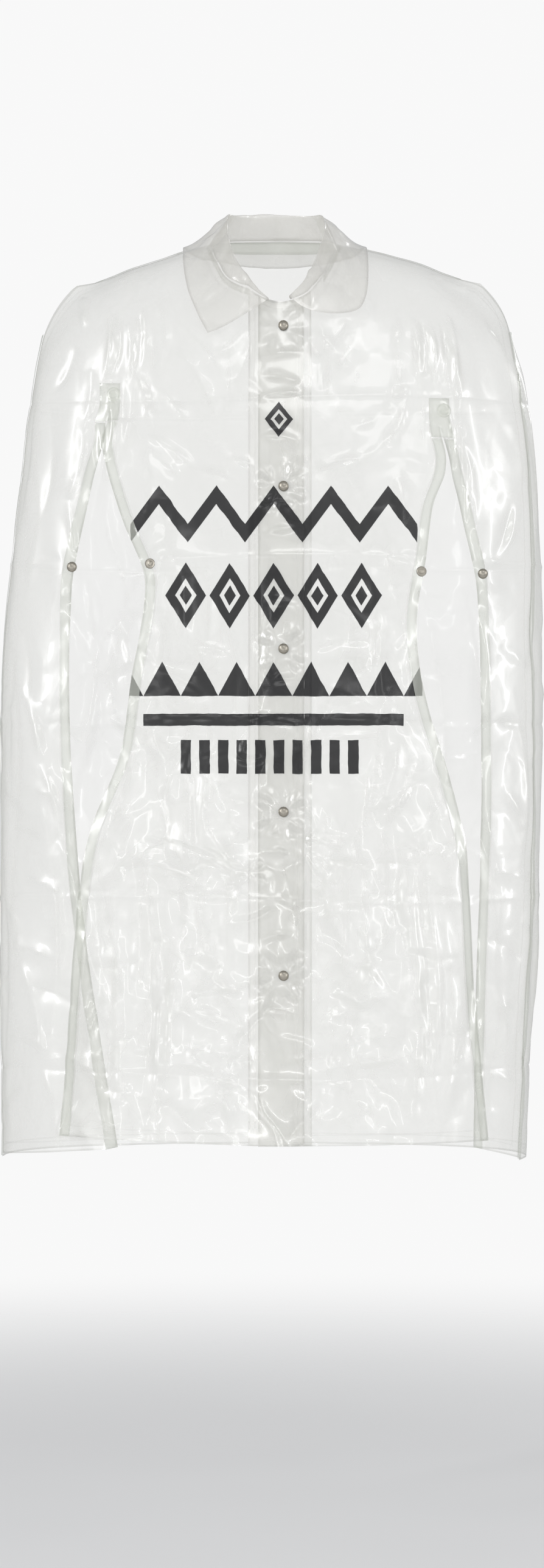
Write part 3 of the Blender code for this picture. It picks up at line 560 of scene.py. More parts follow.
# Troughs (below 0) and ridges, each a line on the front or the back as it hangs.
FRONT_CREASES = (
    # X and height at one end, X and height at the other, half width, rise
    (-306, -516, -278, -612, 5, 2.6),
    (-278, -612, -256, -701, 5, 2.8),
    (-256, -701, -232, -809, 5, 2.6),
    (-232, -809, -179, -1061, 7, 2.4),
    (-321, -771, -307, -845, 5, 2.2),
    (-307, -845, -277, -974, 6, 2.4),
    (-277, -974, -258, -1064, 6, 2.0),
    (-231, -47, -229, -89, 5, 2.6),
    (-237, -110, -266, -169, 6, -2.4),
    (-218, -140, -226, -210, 5, 2.4),
    (-226, -210, -245, -297, 5, 2.6),
    (-246, -297, -247, -420, 5, 2.4),
    (-247, -420, -252, -540, 7, 1.6),
    (212, -112, 219, -215, 5, 2.4),
    (219, -215, 240, -328, 5, 2.6),
    (241, -328, 243, -420, 5, 2.4),
    (243, -420, 250, -560, 7, 1.6),
    (287, -293, 262, -368, 6, -2.6),
    (292, -300, 268, -372, 5, 2.0),
    (259, -90, 303, -184, 7, 2.6),
    (250, -66, 282, -128, 5, -1.8),
    (-198, -62, -205, -159, 3.5, 2.8),
    (-187, -70, -192, -150, 3.5, -2.6),
    (-173, -85, -174, -152, 3, 3.0),
    (-162, -74, -167, -148, 3.5, -2.6),
    (-155, -69, -160, -151, 3, 3.0),
    (-138, -58, -131, -118, 6, 1.6),
    (166, -78, 169, -151, 3, 3.0),
    (176, -80, 180, -150, 3.5, -2.6),
    (186, -82, 190, -158, 3, 2.8),
    (199, -76, 203, -160, 3.5, -2.6),
    (209, -74, 214, -167, 3, 3.0),
    (148, -66, 140, -128, 6, 1.6),
    (-118, -82, -60, -150, 9, 1.4),
    (-96, -74, -48, -118, 7, -1.2),
    (104, -86, 58, -160, 9, 1.4),
    (88, -78, 52, -126, 7, -1.2),
    (-150, -222, -96, -262, 5, 2.2),
    (-142, -246, -112, -276, 5, -1.6),
    (150, -208, 108, -250, 6, 1.8),
    (128, -190, 96, -214, 6, -1.4),
    (-150, -240, -152, -330, 8, 1.8),
    (-132, -300, -140, -400, 8, -1.8),
    (-118, -360, -112, -470, 9, 1.8),
    (142, -250, 150, -340, 8, 1.8),
    (128, -320, 136, -430, 8, -1.8),
    (114, -380, 118, -490, 9, 1.6),
    (-60, -250, -20, -262, 5, 1.6),
    (52, -262, 112, -250, 6, 1.6),
    (-104, -470, -40, -486, 7, 1.6),
    (44, -478, 120, -466, 7, 1.8),
    (-140, -500, -74, -540, 8, -1.8),
    (60, -520, 132, -556, 8, -1.6),
    (-152, -560, -120, -660, 9, 2.4),
    (-128, -640, -136, -760, 9, -2.2),
    (-108, -600, -96, -720, 8, 2.2),
    (-92, -740, -100, -880, 9, 2.4),
    (-70, -690, -52, -790, 8, -2.0),
    (150, -580, 120, -668, 9, 2.4),
    (132, -650, 144, -780, 9, -2.2),
    (108, -620, 92, -730, 8, 2.2),
    (96, -760, 108, -900, 9, 2.4),
    (74, -700, 60, -800, 8, -2.0),
    (-168, -720, -166, -900, 6, 2.8),
    (-157, -760, -158, -1000, 5, -2.4),
    (-146, -740, -150, -1046, 6, 2.6),
    (-190, -800, -196, -1050, 7, 2.2),
    (-214, -760, -222, -960, 6, -2.2),
    (151, -740, 156, -1050, 6, 2.6),
    (163, -700, 164, -960, 5, -2.6),
    (173, -730, 176, -1040, 6, 2.6),
    (196, -780, 200, -1050, 7, 2.2),
    (220, -700, 226, -960, 6, -2.2),
    (-120, -900, -70, -930, 8, 2.0),
    (70, -912, 140, -884, 8, 2.0),
    (-142, -968, -52, -978, 6, 1.8),
    (52, -976, 160, -966, 6, 1.8),
    (-130, -1010, -92, -1052, 8, -1.8),
    (96, -1004, 128, -1050, 8, -1.8),
    (-300, -640, -262, -652, 7, 1.8),
    (-318, -690, -274, -706, 7, -1.8),
    (-296, -748, -250, -770, 8, 2.0),
    (-312, -830, -262, -846, 7, 1.6),
    (-290, -880, -232, -902, 8, -1.8),
    (-318, -940, -270, -952, 7, 1.8),
    (-250, -960, -200, -990, 8, 1.8),
    (272, -470, 306, -500, 7, 1.8),
    (262, -560, 312, -572, 7, -1.8),
    (274, -640, 300, -690, 7, 2.2),
    (264, -740, 306, -752, 8, 1.8),
    (258, -820, 298, -850, 8, -1.8),
    (262, -900, 300, -912, 7, 2.0),
    (254, -980, 296, -1000, 8, 1.6),
    (286, -520, 292, -760, 6, 1.8),
    (300, -760, 284, -1040, 6, 1.8),
    (-288, -230, -300, -420, 8, 2.2),
    (-268, -180, -282, -330, 7, -2.0),
    (-306, -420, -300, -560, 8, -1.8),
    (284, -200, 300, -280, 8, 2.0),
    (306, -400, 300, -520, 8, -1.8),
    (-136, -698, -32, -743, 3, 2.6),
    (-110, -716, -33, -750, 3, 2.2),
    (-150, -700, -92, -716, 4, -1.8),
    (-52, -724, -30, -741, 3, 2.2),
    (-56, -760, -30, -743, 3, 2.2),
    (-30, -742, -12, -728, 3, 2.0),
    (-30, -744, -8, -752, 3, 2.0),
    (38, -700, 80, -712, 3, 2.4),
    (40, -716, 72, -738, 3, 2.2),
    (40, -722, 60, -752, 3, 2.0),
    (38, -706, 58, -690, 3, 2.0),
    (46, -728, 104, -734, 4, -1.8),
    (-150, -802, -146, -1052, 3.5, 2.6),
    (-141, -773, -137, -1010, 3.5, -2.2),
    (-134, -788, -134, -940, 3, 2.4),
    (-128, -830, -124, -960, 3, -1.8),
    (156, -773, 162, -1052, 3.5, 2.6),
    (167, -788, 173, -1045, 3.5, -2.4),
    (161, -824, 156, -974, 3, 2.2),
    (176, -760, 184, -1000, 3.5, 2.2),
    (172, -609, 125, -687, 3, 2.6),
    (-78, -984, -34, -996, 4, 2.2),
    (-66, -996, -48, -1040, 4, 2.2),
    (-74, -978, -100, -946, 4, 2.2),
    (-62, -978, -58, -944, 4, -2.0),
    (-50, -986, -28, -962, 4, 2.0),
    (60, -986, 96, -1000, 4, 2.2),
    (66, -980, 78, -944, 4, 2.2),
    (58, -992, 44, -1036, 4, -2.0),
    (-84, -820, -62, -872, 4, 2.2),
    (-60, -826, -84, -880, 4, -2.0),
    (-72, -860, -44, -886, 4, 2.2),
    (-100, -886, -40, -878, 4, 2.2),
    (-96, -900, -50, -914, 4, -1.8),
    (84, -790, 112, -836, 4, 2.2),
    (104, -786, 92, -842, 4, -2.0),
    (96, -850, 128, -880, 4, 2.2),
    (70, -880, 110, -902, 4, 2.0),
    (60, -660, 66, -700, 4, 1.8),
    (-18, -670, 30, -674, 3.5, 1.8),
    (-14, -700, 28, -696, 3.5, -1.6),
    (-16, -716, 30, -720, 3.5, 1.8),
    (-16, -820, 28, -812, 4, 1.6),
    (-14, -900, 26, -908, 4, -1.6),
    (-16, -130, 34, -122, 4, 2.0),
    (-14, -150, 30, -158, 4, -1.8),
    (-18, -178, 34, -172, 4, 2.0),
    (-14, -222, 30, -230, 4, 1.8),
    (-16, -300, 34, -308, 4, -1.8),
    (-16, -340, 30, -334, 4, 1.8),
    (-14, -420, 30, -426, 4, 1.8),
    (-16, -520, 32, -512, 4, -1.6),
    (-14, -560, 30, -566, 4, 1.6),
    (-30, -90, -74, -128, 5, 2.0),
    (-26, -100, -50, -160, 5, -1.8),
    (48, -92, 84, -140, 5, 2.0),
    (44, -104, 58, -168, 5, -1.8),
    (-162, -150, -150, -212, 3.5, 2.4),
    (-158, -150, -140, -196, 3.5, -2.0),
    (-136, -166, -104, -206, 4, 2.0),
    (158, -160, 146, -218, 3.5, 2.4),
    (150, -150, 132, -196, 3.5, -2.0),
    (-196, -165, -198, -250, 3.5, 2.4),
    (-208, -205, -214, -300, 3.5, 2.2),
    (204, -175, 212, -262, 3.5, 2.4),
    (222, -230, 232, -330, 3.5, 2.2),
)
BACK_CREASES = (
    (-212, -90, -224, -300, 8, 2.6),
    (-196, -100, -206, -260, 6, -2.2),
    (-176, -84, -186, -220, 6, 2.4),
    (-152, -70, -158, -170, 6, -2.0),
    (210, -96, 226, -310, 8, 2.6),
    (192, -100, 200, -250, 6, -2.2),
    (170, -80, 182, -236, 6, 2.4),
    (148, -66, 152, -180, 6, -2.0),
    (-118, -96, -70, -190, 10, 1.8),
    (112, -98, 74, -182, 10, 1.8),
    (-60, -60, -66, -180, 8, -1.6),
    (58, -62, 66, -170, 8, -1.6),
    (-20, -80, -26, -240, 9, 1.8),
    (26, -120, 22, -300, 9, -1.8),
    (-110, -240, -40, -262, 8, 1.8),
    (36, -252, 122, -236, 8, 1.8),
    (-90, -330, -96, -520, 10, 2.2),
    (84, -340, 92, -540, 10, 2.2),
    (-148, -360, -160, -600, 9, -2.4),
    (150, -380, 160, -610, 9, -2.4),
    (-188, -420, -196, -700, 9, 2.6),
    (190, -430, 200, -720, 9, 2.6),
    (-232, -380, -244, -640, 9, -2.4),
    (236, -390, 246, -650, 9, -2.4),
    (-40, -430, -34, -640, 10, -2.0),
    (30, -470, 38, -700, 10, 2.0),
    (-150, -486, -60, -498, 6, 1.8),
    (40, -492, 160, -482, 6, 1.8),
    (-120, -620, -130, -900, 9, 2.6),
    (124, -640, 130, -880, 9, 2.6),
    (-70, -680, -78, -960, 9, -2.4),
    (76, -660, 72, -940, 9, -2.4),
    (-20, -720, -24, -1060, 10, 2.4),
    (20, -760, 26, -1060, 8, -2.2),
    (-168, -700, -176, -1060, 9, -2.6),
    (170, -720, 176, -1060, 9, -2.6),
    (-214, -740, -222, -1060, 9, 2.6),
    (216, -760, 220, -1060, 9, 2.6),
    (-256, -700, -258, -1060, 8, -2.4),
    (258, -690, 262, -1060, 8, -2.4),
    (-292, -640, -286, -1000, 8, 2.2),
    (290, -620, 288, -1000, 8, 2.2),
    (-180, -740, -90, -754, 6, 1.8),
    (60, -748, 190, -738, 6, 1.8),
    (-240, -860, -150, -896, 9, 2.0),
    (150, -880, 236, -850, 9, 2.0),
    (-110, -992, 110, -984, 6, 1.8),
    (-280, -560, -230, -590, 8, 2.0),
    (240, -580, 288, -556, 8, 2.0),
    (-60, -1020, -20, -1070, 8, -2.0),
    (90, -1010, 118, -1070, 8, -2.0),
)
COLLAR_CREASES = (
    (-52, 34, -88, -46, 5, 1.6),
    (-44, 14, -66, -58, 5, -1.4),
    (-34, -6, -40, -72, 4, 1.4),
    (-72, 30, -104, -22, 5, 1.6),
    (-60, -40, -92, -70, 6, -1.2),
    (58, 34, 92, -36, 5, 1.6),
    (48, 12, 66, -52, 5, -1.4),
    (38, -8, 46, -70, 4, 1.4),
    (76, 26, 108, -18, 5, 1.4),
    (70, -36, 96, -58, 6, -1.2),
)
SIDE_CREASES = (
    # depth and height at one end, depth and height at the other, half width, rise
    (-30, -130, -52, -380, 8, 2.0),
    (10, -110, 4, -300, 8, -1.8),
    (44, -140, 60, -420, 9, 2.0),
    (-58, -400, -66, -700, 9, -2.0),
    (-14, -330, -24, -640, 10, 1.8),
    (30, -420, 36, -760, 9, -1.8),
    (70, -380, 78, -720, 9, 2.0),
    (-40, -700, -50, -1040, 10, 2.2),
    (4, -660, 0, -1000, 9, -2.0),
    (52, -740, 60, -1060, 10, 2.2),
    (-62, -500, 10, -540, 7, 1.4),
    (-20, -860, 56, -820, 7, 1.4),
    (-70, -960, -16, -990, 7, -1.4),
    (20, -600, 74, -640, 7, 1.4),
)
SIDE_STEP = 40.0  # how much lower the side creases are on the right
PACK_FOLDS = (-176, -368, -561, -772, -981)  # heights of the folds that the pack left
PACK_HALF, PACK_RISE = 3.5, 1.3
NOISE_SEED = 11  # fixes where the noise starts, so that each run gives the same film
CREASE_SCALE = 1.7
CRUMPLES = (
    # cell size, stretch, height, and how its edges show, as milkier crease lines with painted shade and
    # highlight
    (96, (1.15, 1, 0.55), 9.5, 0.6),
    (44, (0.9, 1, 0.8), 3.8, 0.35),
)


@dataclass(frozen=True)
class Pucker:
    """Short folds that run out from a snap.

    Attributes:
        node: The snap's CAD node.
        turn: Where the first fold points, in radians.
        height: How high the folds are, in millimetres.
    """

    node: str
    turn: float
    height: float = 2.0

    def spot(self) -> np.ndarray:
        """The snap's X and height, in millimetres."""
        return points_of(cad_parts[self.node].data).mean(axis=0)[[0, 2]] / MM

    def rise(self, flat: np.ndarray) -> np.ndarray:
        """How far the film is raised round the snap.

        Args:
            flat: X and height of each point, in millimetres.

        Returns:
            The rise of each point, in millimetres.
        """
        away = flat - self.spot()
        reach = np.linalg.norm(away, axis=1)
        angle = np.arctan2(away[:, 1], away[:, 0]) + self.turn
        waves = np.cos(5 * angle) + 0.5 * np.cos(9 * angle + 1.3)
        return self.height * waves * np.exp(-(((reach - 24) / 9) ** 2))


@dataclass
class Drape:
    """How the film lies: listed creases, pack folds, puckers and a light crumple.

    Attributes:
        creases: Rows of one crease table.
        puckers: The snaps' puckers.
        crumple: How strong the crumple is.
        evenness: How strong it is away from the skirt's middle, as a share.
        seed: Where in the noise the crumple is taken.
        calm_neck: How far below the collar the film stays calm, in millimetres.
    """

    creases: tuple
    puckers: tuple = ()
    crumple: float = 1.0
    evenness: float = 0.22
    seed: float = 0.0
    calm_neck: float = 24.0
    lines: np.ndarray | None = field(default=None, repr=False)

    def raised_lines(self, flat: np.ndarray, creases: tuple) -> tuple[np.ndarray, np.ndarray]:
        """The listed creases.

        Args:
            flat: The two measures of each point that the creases are placed by.
            creases: Rows of a crease table.

        Returns:
            The rise at each point, in millimetres, and the mark on the creases' tops: milkier film, with
            painted shade and highlight in its colour.
        """
        rise, crease_milk_and_light = np.zeros(len(flat)), np.zeros(len(flat))
        for x0, z0, x1, z1, half, height in creases:
            start, run = np.array([x0, z0], float), np.array([x1 - x0, z1 - z0], float)
            along = (flat - start) @ run / (run @ run)
            bow = 0.06 * np.sin(np.pi * along) * np.array([-run[1], run[0]])[:, None]
            nearest = start + np.clip(along, 0, 1)[:, None] * run + bow.T
            aside = np.linalg.norm(flat - nearest, axis=1) / half
            fade = np.clip(np.sin(np.pi * np.clip(along, 0.0, 1.0)), 0, 1) ** 0.6
            uneven = 0.75 + 0.25 * np.sin(along * 9 + x0)
            rise += CREASE_SCALE * height * fade * uneven * np.exp(-(aside**1.5))
            # The crease tops' mark: milkier film, and in the film's colour painted shade on the clear
            # films and a painted highlight on the denser ones.
            crease_milk_and_light += 0.4 * fade * uneven * np.exp(-((aside * half / 2.8) ** 2))
        return rise, crease_milk_and_light

    def pack_folds(self, points: np.ndarray) -> np.ndarray:
        """The rise along the folds that the pack left, in millimetres."""
        rise = np.zeros(len(points))
        for i, height in enumerate(PACK_FOLDS):
            level = height + 4 * np.sin(points[:, 0] / 90 + i)
            sign = 1 if i % 2 else -1
            rise += sign * PACK_RISE * np.exp(-np.abs(points[:, 2] - level) / PACK_HALF)
        return rise

    def crumpled(self, points: np.ndarray) -> np.ndarray:
        """A light crumple of tilted facets with sharp edges.

        Args:
            points: The points, in millimetres.

        Returns:
            The rise of each point, in millimetres.
        """
        rise = np.zeros(len(points))
        low = np.clip((-points[:, 2] - 300) / 300, 0, 1)
        middle = np.clip((290 - np.abs(points[:, 0])) / 90, 0.12, 1)
        strength = self.evenness + (1 - self.evenness) * low * middle
        for size, stretch, share, sharp in CRUMPLES:
            spots = points / size * np.array(stretch) + self.seed
            for i, spot in enumerate(spots):
                spot = Vector(spot)
                spot += noise.noise_vector(spot * 1.3) * 0.35
                (near, far, *_), (heart, *_) = noise.voronoi(spot)
                lean = noise.cell_vector(heart * 7.0) - Vector((0.5, 0.5, 0.5))
                inside = min(2.2 * (far - near), 1.0)
                facet = min(far - near, 0.3) + 1.6 * lean.dot(spot - heart) * inside
                busy = max(0.35 + 1.2 * noise.noise(spot * 0.55), 0.0)
                rise[i] += share * (facet - 0.14) * (0.35 + 1.3 * busy)
                # Facet edges become crease lines: milkier film, with painted shade and painted highlight
                # in its colour.
                line = math.exp(-(((far - near) * size / 3.6) ** 2)) * busy
                self.lines[i] += sharp * line * strength[i]
        return self.crumple * rise * strength

    def shift(self, points: np.ndarray, normals: np.ndarray, neck: float) -> np.ndarray:
        """How each point of a panel moves.

        Args:
            points: The panel's points, in metres.
            normals: Its normals.
            neck: 1 to calm the film below the collar, or 0.

        Returns:
            The moves, in metres.
        """
        spots = points / MM
        flat = spots[:, (0, 2)]
        facing = np.clip((np.abs(normals[:, 1]) - 0.12) / 0.4, 0, 1)
        siding = np.clip((np.abs(normals[:, 0]) - 0.6) / 0.3, 0, 1)
        rise, crease_milk_and_light = self.raised_lines(flat, self.creases)
        stepped = spots[:, (1, 2)] + np.outer(spots[:, 0] < 0, (0.0, SIDE_STEP))
        side_rise, side_milk_and_light = self.raised_lines(stepped, SIDE_CREASES)
        rise = rise * facing + side_rise * siding
        self.lines = crease_milk_and_light * facing + side_milk_and_light * siding
        rise += self.pack_folds(spots) + self.crumpled(spots)
        for pucker in self.puckers:
            near = np.linalg.norm(flat - pucker.spot(), axis=1)
            calm = np.clip((near - 9) / 15, 0, 1)
            rise = rise * calm * calm * (3 - 2 * calm) + pucker.rise(flat)
        out = np.hypot(spots[:, 0] - 2, spots[:, 1] + 8)
        if neck:
            rise *= np.clip((out - 82) / self.calm_neck, 0.15, 1)
        return normals * rise[:, None] * MM


# --- pieces -----------------------------------------------------------------------------------


def add_attribute(mesh: bpy.types.Mesh, name: str, values: np.ndarray) -> None:
    """Give a mesh a number at each of its points.

    Args:
        mesh: The mesh.
        name: The attribute's name.
        values: Its values.
    """
    attribute = mesh.attributes.new(name, "FLOAT", "POINT")
    attribute.data.foreach_set("value", np.asarray(values, np.float32))


def points_of(mesh: bpy.types.Mesh, what: str = "co") -> np.ndarray:
    """A mesh's points, or their normals.

    Args:
        mesh: The mesh.
        what: "co" or "normal".

    Returns:
        A row for each point.
    """
    flat = np.zeros(len(mesh.vertices) * 3, np.float32)
    mesh.vertices.foreach_get(what, flat)
    return flat.reshape(-1, 3).astype(float)


def shown(name: str, mesh: bpy.types.Mesh, node: str) -> bpy.types.Object:
    """Make a mesh a piece of the garment, in place of its CAD node.

    Args:
        name: The piece's name.
        mesh: Its mesh, in place.
        node: The CAD node.

    Returns:
        The piece.
    """
    piece = bpy.data.objects.new(name, mesh)
    bpy.context.scene.collection.objects.link(piece)
    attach(piece, BODY)
    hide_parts(node)
    return piece


def carried(bases: tuple, points: np.ndarray) -> np.ndarray:
    """How points move with the panels that they lie on.

    Args:
        bases: The panels.
        points: The points, before they move.

    Returns:
        Their moves.
    """
    rest = np.concatenate([base.rest for base in bases])
    moved = np.concatenate([base.moved for base in bases])
    tree = KDTree(len(rest))
    for i, point in enumerate(rest):
        tree.insert(point, i)
    tree.balance()
    moves = np.zeros_like(points)
    for i, point in enumerate(points):
        found = tree.find_n(point, 4)
        weights = np.array([1.0 / (near[2] + 1e-4) ** 2 for near in found])
        moves[i] = weights @ moved[[near[1] for near in found]] / weights.sum()
    return moves


@dataclass
class Sheet:
    """One cloth piece: a thin open sheet on the outer face of its CAD node.

    Attributes:
        node: The CAD node that it stands for.
        film: Its finish.
        flat: The width and length of its cut, in metres. Not used.
        area: The cut's flat area in square metres, or None for a rectangle. Not used.
        slot: The record's material slot. Not used.
        hang: How it is held. Not used.
        bases: The panels that it lies on.
        drape: How a panel is creased, or None for what lies on one.
        levels: How often it is made finer.
    """

    node: str
    film: Film
    flat: tuple
    area: float | None = None
    slot: Slot = Slot.DENSE
    hang: Hang = Hang.LAID
    bases: tuple = ()
    drape: Drape | None = None
    levels: int = 3
    piece: bpy.types.Object | None = field(default=None, repr=False)
    rest: np.ndarray | None = field(default=None, repr=False)
    moved: np.ndarray | None = field(default=None, repr=False)

    RIM = 1.3 * MM
    LONG_EDGE = 22 * MM

    def outer_face(self) -> bmesh.types.BMesh:
        """The CAD wall's outer face, as quads."""
        work = bmesh.new()
        work.from_mesh(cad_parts[self.node].data)
        bmesh.ops.remove_doubles(work, verts=work.verts, dist=0.01 * MM)
        rims = [f for f in work.faces if min(e.calc_length() for e in f.edges) < self.RIM]
        bmesh.ops.delete(work, geom=rims, context="FACES_ONLY")
        sides, left = [], set(work.faces)
        while left:
            side, front = [], [left.pop()]
            while front:
                face = front.pop()
                side.append(face)
                for near in (f for e in face.edges for f in e.link_faces if f in left):
                    left.discard(near)
                    front.append(near)
            sides.append(side)
        outwards = [sum(self.outward(face) for face in side) for side in sides]
        inner = [f for i, side in enumerate(sides) if i != int(np.argmax(outwards)) for f in side]
        bmesh.ops.delete(work, geom=inner, context="FACES")
        loose = [e for e in work.edges if not e.link_faces]
        bmesh.ops.delete(work, geom=loose, context="EDGES")
        stray = [v for v in work.verts if not v.link_faces]
        bmesh.ops.delete(work, geom=stray, context="VERTS")
        bmesh.ops.join_triangles(
            work,
            faces=work.faces,
            angle_face_threshold=math.pi,
            angle_shape_threshold=math.pi,
        )
        runs = [(e, (e.verts[1].co - e.verts[0].co)) for e in work.edges]
        tall = [e for e, run in runs if abs(run.z) > max(self.LONG_EDGE, 0.75 * run.length)]
        if self.drape:
            bmesh.ops.subdivide_edges(work, edges=tall, cuts=1, use_grid_fill=True)
        return work

    def outward(self, face: bmesh.types.BMFace) -> float:
        """How much of a face looks away from the garment's middle."""
        centre = face.calc_center_median()
        away = Vector((centre.x, centre.y - 0.005, 0.06 if centre.z > -0.12 else 0.0))
        return face.calc_area() * face.normal.dot(away)

    def finer(self, work: bmesh.types.BMesh) -> bpy.types.Mesh:
        """Subdivide a sheet smoothly.

        Args:
            work: The sheet, which is used up.

        Returns:
            The finer mesh.
        """
        coarse = bpy.data.meshes.new(self.node + "_coarse")
        work.to_mesh(coarse)
        work.free()
        holder = bpy.data.objects.new(self.node + "_coarse", coarse)
        bpy.context.scene.collection.objects.link(holder)
        smooth = holder.modifiers.new("smooth", "SUBSURF")
        smooth.levels = smooth.render_levels = self.levels
        smooth.boundary_smooth = "PRESERVE_CORNERS"
        graph = bpy.context.evaluated_depsgraph_get()
        fine = bpy.data.meshes.new_from_object(holder.evaluated_get(graph))
        bpy.data.objects.remove(holder)
        bpy.data.meshes.remove(coarse)
        fine.name = self.node + "_film"
        return fine

    def edge_distance(self, mesh: bpy.types.Mesh) -> np.ndarray:
        """How far each point is from the sheet's edge, in metres."""
        work = bmesh.new()
        work.from_mesh(mesh)
        rim = [v.co.copy() for v in work.verts if v.is_boundary]
        tree = KDTree(len(rim))
        for i, point in enumerate(rim):
            tree.insert(point, i)
        tree.balance()
        distances = np.array([tree.find(v.co)[2] for v in work.verts])
        work.free()
        return distances

    def unroll(self, mesh: bpy.types.Mesh) -> None:
        """Lay the sheet's own map: the way round the garment, and the height."""
        points = points_of(mesh)
        turn = np.arctan2(points[:, 0] / 0.32, -(points[:, 1] - 0.005) / 0.14)
        if "back" in self.node:
            turn = np.mod(turn, math.tau)
        fine = np.linspace(-math.pi, math.tau, 721)
        ring = np.stack([0.32 * np.sin(fine), -0.14 * np.cos(fine)], axis=1)
        lengths = np.linalg.norm(np.diff(ring, axis=0), axis=1)
        along = np.interp(turn, fine, np.concatenate([[0.0], np.cumsum(lengths)]))
        corners = np.zeros(len(mesh.loops), np.int32)
        mesh.loops.foreach_get("vertex_index", corners)
        layer = mesh.uv_layers.new(name="cut")
        layer.data.foreach_set(
            "uv", np.stack([along, points[:, 2] + 1.2], axis=1)[corners].astype(np.float32).ravel()
        )

    def build(self) -> "Sheet":
        """Make the piece from its CAD node, crease it and dress it.

        Returns:
            The sheet itself.
        """
        mesh = self.finer(self.outer_face())
        self.rest = points_of(mesh)
        normals = points_of(mesh, "normal")
        if self.drape:
            self.moved = self.drape.shift(self.rest, normals, 0 if self.node == "collar" else 1)
        else:
            self.moved = carried(self.bases, self.rest)
        mesh.vertices.foreach_set("co", (self.rest + self.moved).astype(np.float32).ravel())
        mesh.update()
        # The crease mark, from the tilt and the crease lines, makes the film milkier and carries its
        # painted crease shade and highlight.
        tilt = 1 - np.einsum("ij,ij->i", normals, points_of(mesh, "normal"))
        lines = self.drape.lines if self.drape else 0.0
        add_attribute(mesh, "crease", np.clip(tilt * 5 + lines, 0, 1))
        add_attribute(mesh, "edge", self.edge_distance(mesh))
        self.unroll(mesh)
        mesh.shade_smooth()
        mesh.materials.clear()
        mesh.materials.append(self.film.material())
        self.piece = shown(self.node + "_film", mesh, self.node)
        LOG.info("%s: %d points", self.piece.name, len(self.rest))
        return self


@dataclass
class Turned:
    """A small turned piece that stands on a panel: a snap half or an embossed ring.

    Attributes:
        node: The CAD node that it stands for.
        base: The panel that it moves with.
        profile: Shares of the radius, and heights in millimetres, from the middle out.
        finish: Its finish.
        slot: The record's material slot. Not used.
        radius: Its radius, in millimetres.
    """

    node: str
    base: Sheet
    profile: tuple
    finish: Nickel | Film
    slot: Slot
    radius: float

    SIDES = 48

    def seat(self) -> tuple[Vector, Vector]:
        """The CAD piece's foot and the way it stands.

        Returns:
            The middle of its foot and its axis.
        """
        points = points_of(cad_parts[self.node].data)
        middle = points.mean(axis=0)
        reach = np.linalg.norm(points - middle, axis=1)
        foot = points[reach > reach.max() * 0.97].mean(axis=0)
        spread = np.linalg.svd(points - middle, full_matrices=False)[2]
        axis = spread[2] * (1.0 if spread[2] @ (middle - foot) > 0 else -1.0)
        return Vector(foot), Vector(axis)

    def build(self) -> bpy.types.Object:
        """Turn the piece and stand it in its place.

        Returns:
            The piece.
        """
        work = bmesh.new()
        line = [
            work.verts.new((share * self.radius * MM, 0, height * MM))
            for share, height in self.profile
        ]
        edges = [work.edges.new(pair) for pair in zip(line[:-1], line[1:])]
        bmesh.ops.spin(
            work,
            geom=[*line, *edges],
            cent=(0, 0, 0),
            axis=(0, 0, 1),
            angle=math.tau,
            steps=self.SIDES,
            use_merge=True,
        )
        bmesh.ops.remove_doubles(work, verts=work.verts, dist=0.001 * MM)
        bmesh.ops.recalc_face_normals(work, faces=work.faces)
        rises = [v.co.z for v in work.verts]
        foot, axis = self.seat()
        foot += Vector(carried((self.base,), np.array([foot]))[0])
        turn = axis.to_track_quat("Z", "Y").to_matrix().to_4x4()
        bmesh.ops.transform(work, matrix=Matrix.Translation(foot) @ turn, verts=work.verts)
        mesh = bpy.data.meshes.new(self.node + "_turned")
        work.to_mesh(mesh)
        work.free()
        add_attribute(mesh, "rise", np.array(rises) / max(rises))
        add_attribute(mesh, "edge", np.full(len(mesh.vertices), 0.05))
        mesh.shade_smooth()
        mesh.set_sharp_from_angle(angle=math.radians(50))
        mesh.materials.append(self.finish.material())
        piece = shown(self.node + "_turned", mesh, self.node)
        LOG.info("%s: turned", piece.name)
        return piece


CAP_TURN = (
    (0, 3.05), (0.3, 2.98), (0.58, 2.6), (0.76, 2.0), (0.82, 1.4), (0.87, 1.3), (0.92, 1.5),
    (0.97, 1.25), (1, 0.7), (1, 0), (0, 0),
)
STUD_TURN = (
    (0, 1.9), (0.28, 1.9), (0.4, 1.75), (0.46, 1.45), (0.42, 1.0), (0.48, 0.85), (0.84, 0.8),
    (0.92, 0.95), (0.98, 0.7), (1, 0), (0, 0),
)
RING_TURN = (
    (0, 0.3), (0.3, 0.35), (0.44, 0.3), (0.52, 0.5), (0.6, 0.95), (0.7, 1.15), (0.8, 1.0),
    (0.9, 0.5), (1, 0.1),
)
# Crease tints carry painted light: darker than the flat tint on the clear films as painted shade,
# lighter on the denser films as whitened film with a painted highlight.
CLEAR = Film("clear film")
PRINTED_RIGHT = Film("printed film of the right front", print=Ornament(-400, -14))
PRINTED_LEFT = Film("printed film of the left front", print=Ornament(36, 400))
DOUBLED = Film("doubled film", (0.7, 0.73, 0.62), (0.84, 0.86, 0.78), 0.4, 0.3, 2.5, 0.1)
UNDER = Film("under band film", (0.86, 0.85, 0.79), (0.93, 0.93, 0.89), 0.3, 0.5, 3.0)
BAND = Film(
    "printed film of the band",
    (0.88, 0.87, 0.81),
    (0.95, 0.945, 0.91),
    0.36,
    0.5,
    8.0,
    print=Ornament(-100, 100),
)
THICK = Film("collar film", (0.83, 0.81, 0.745), (0.93, 0.92, 0.87), 0.44, 0.5, 3.0)
NICKEL = Nickel("dull nickel")


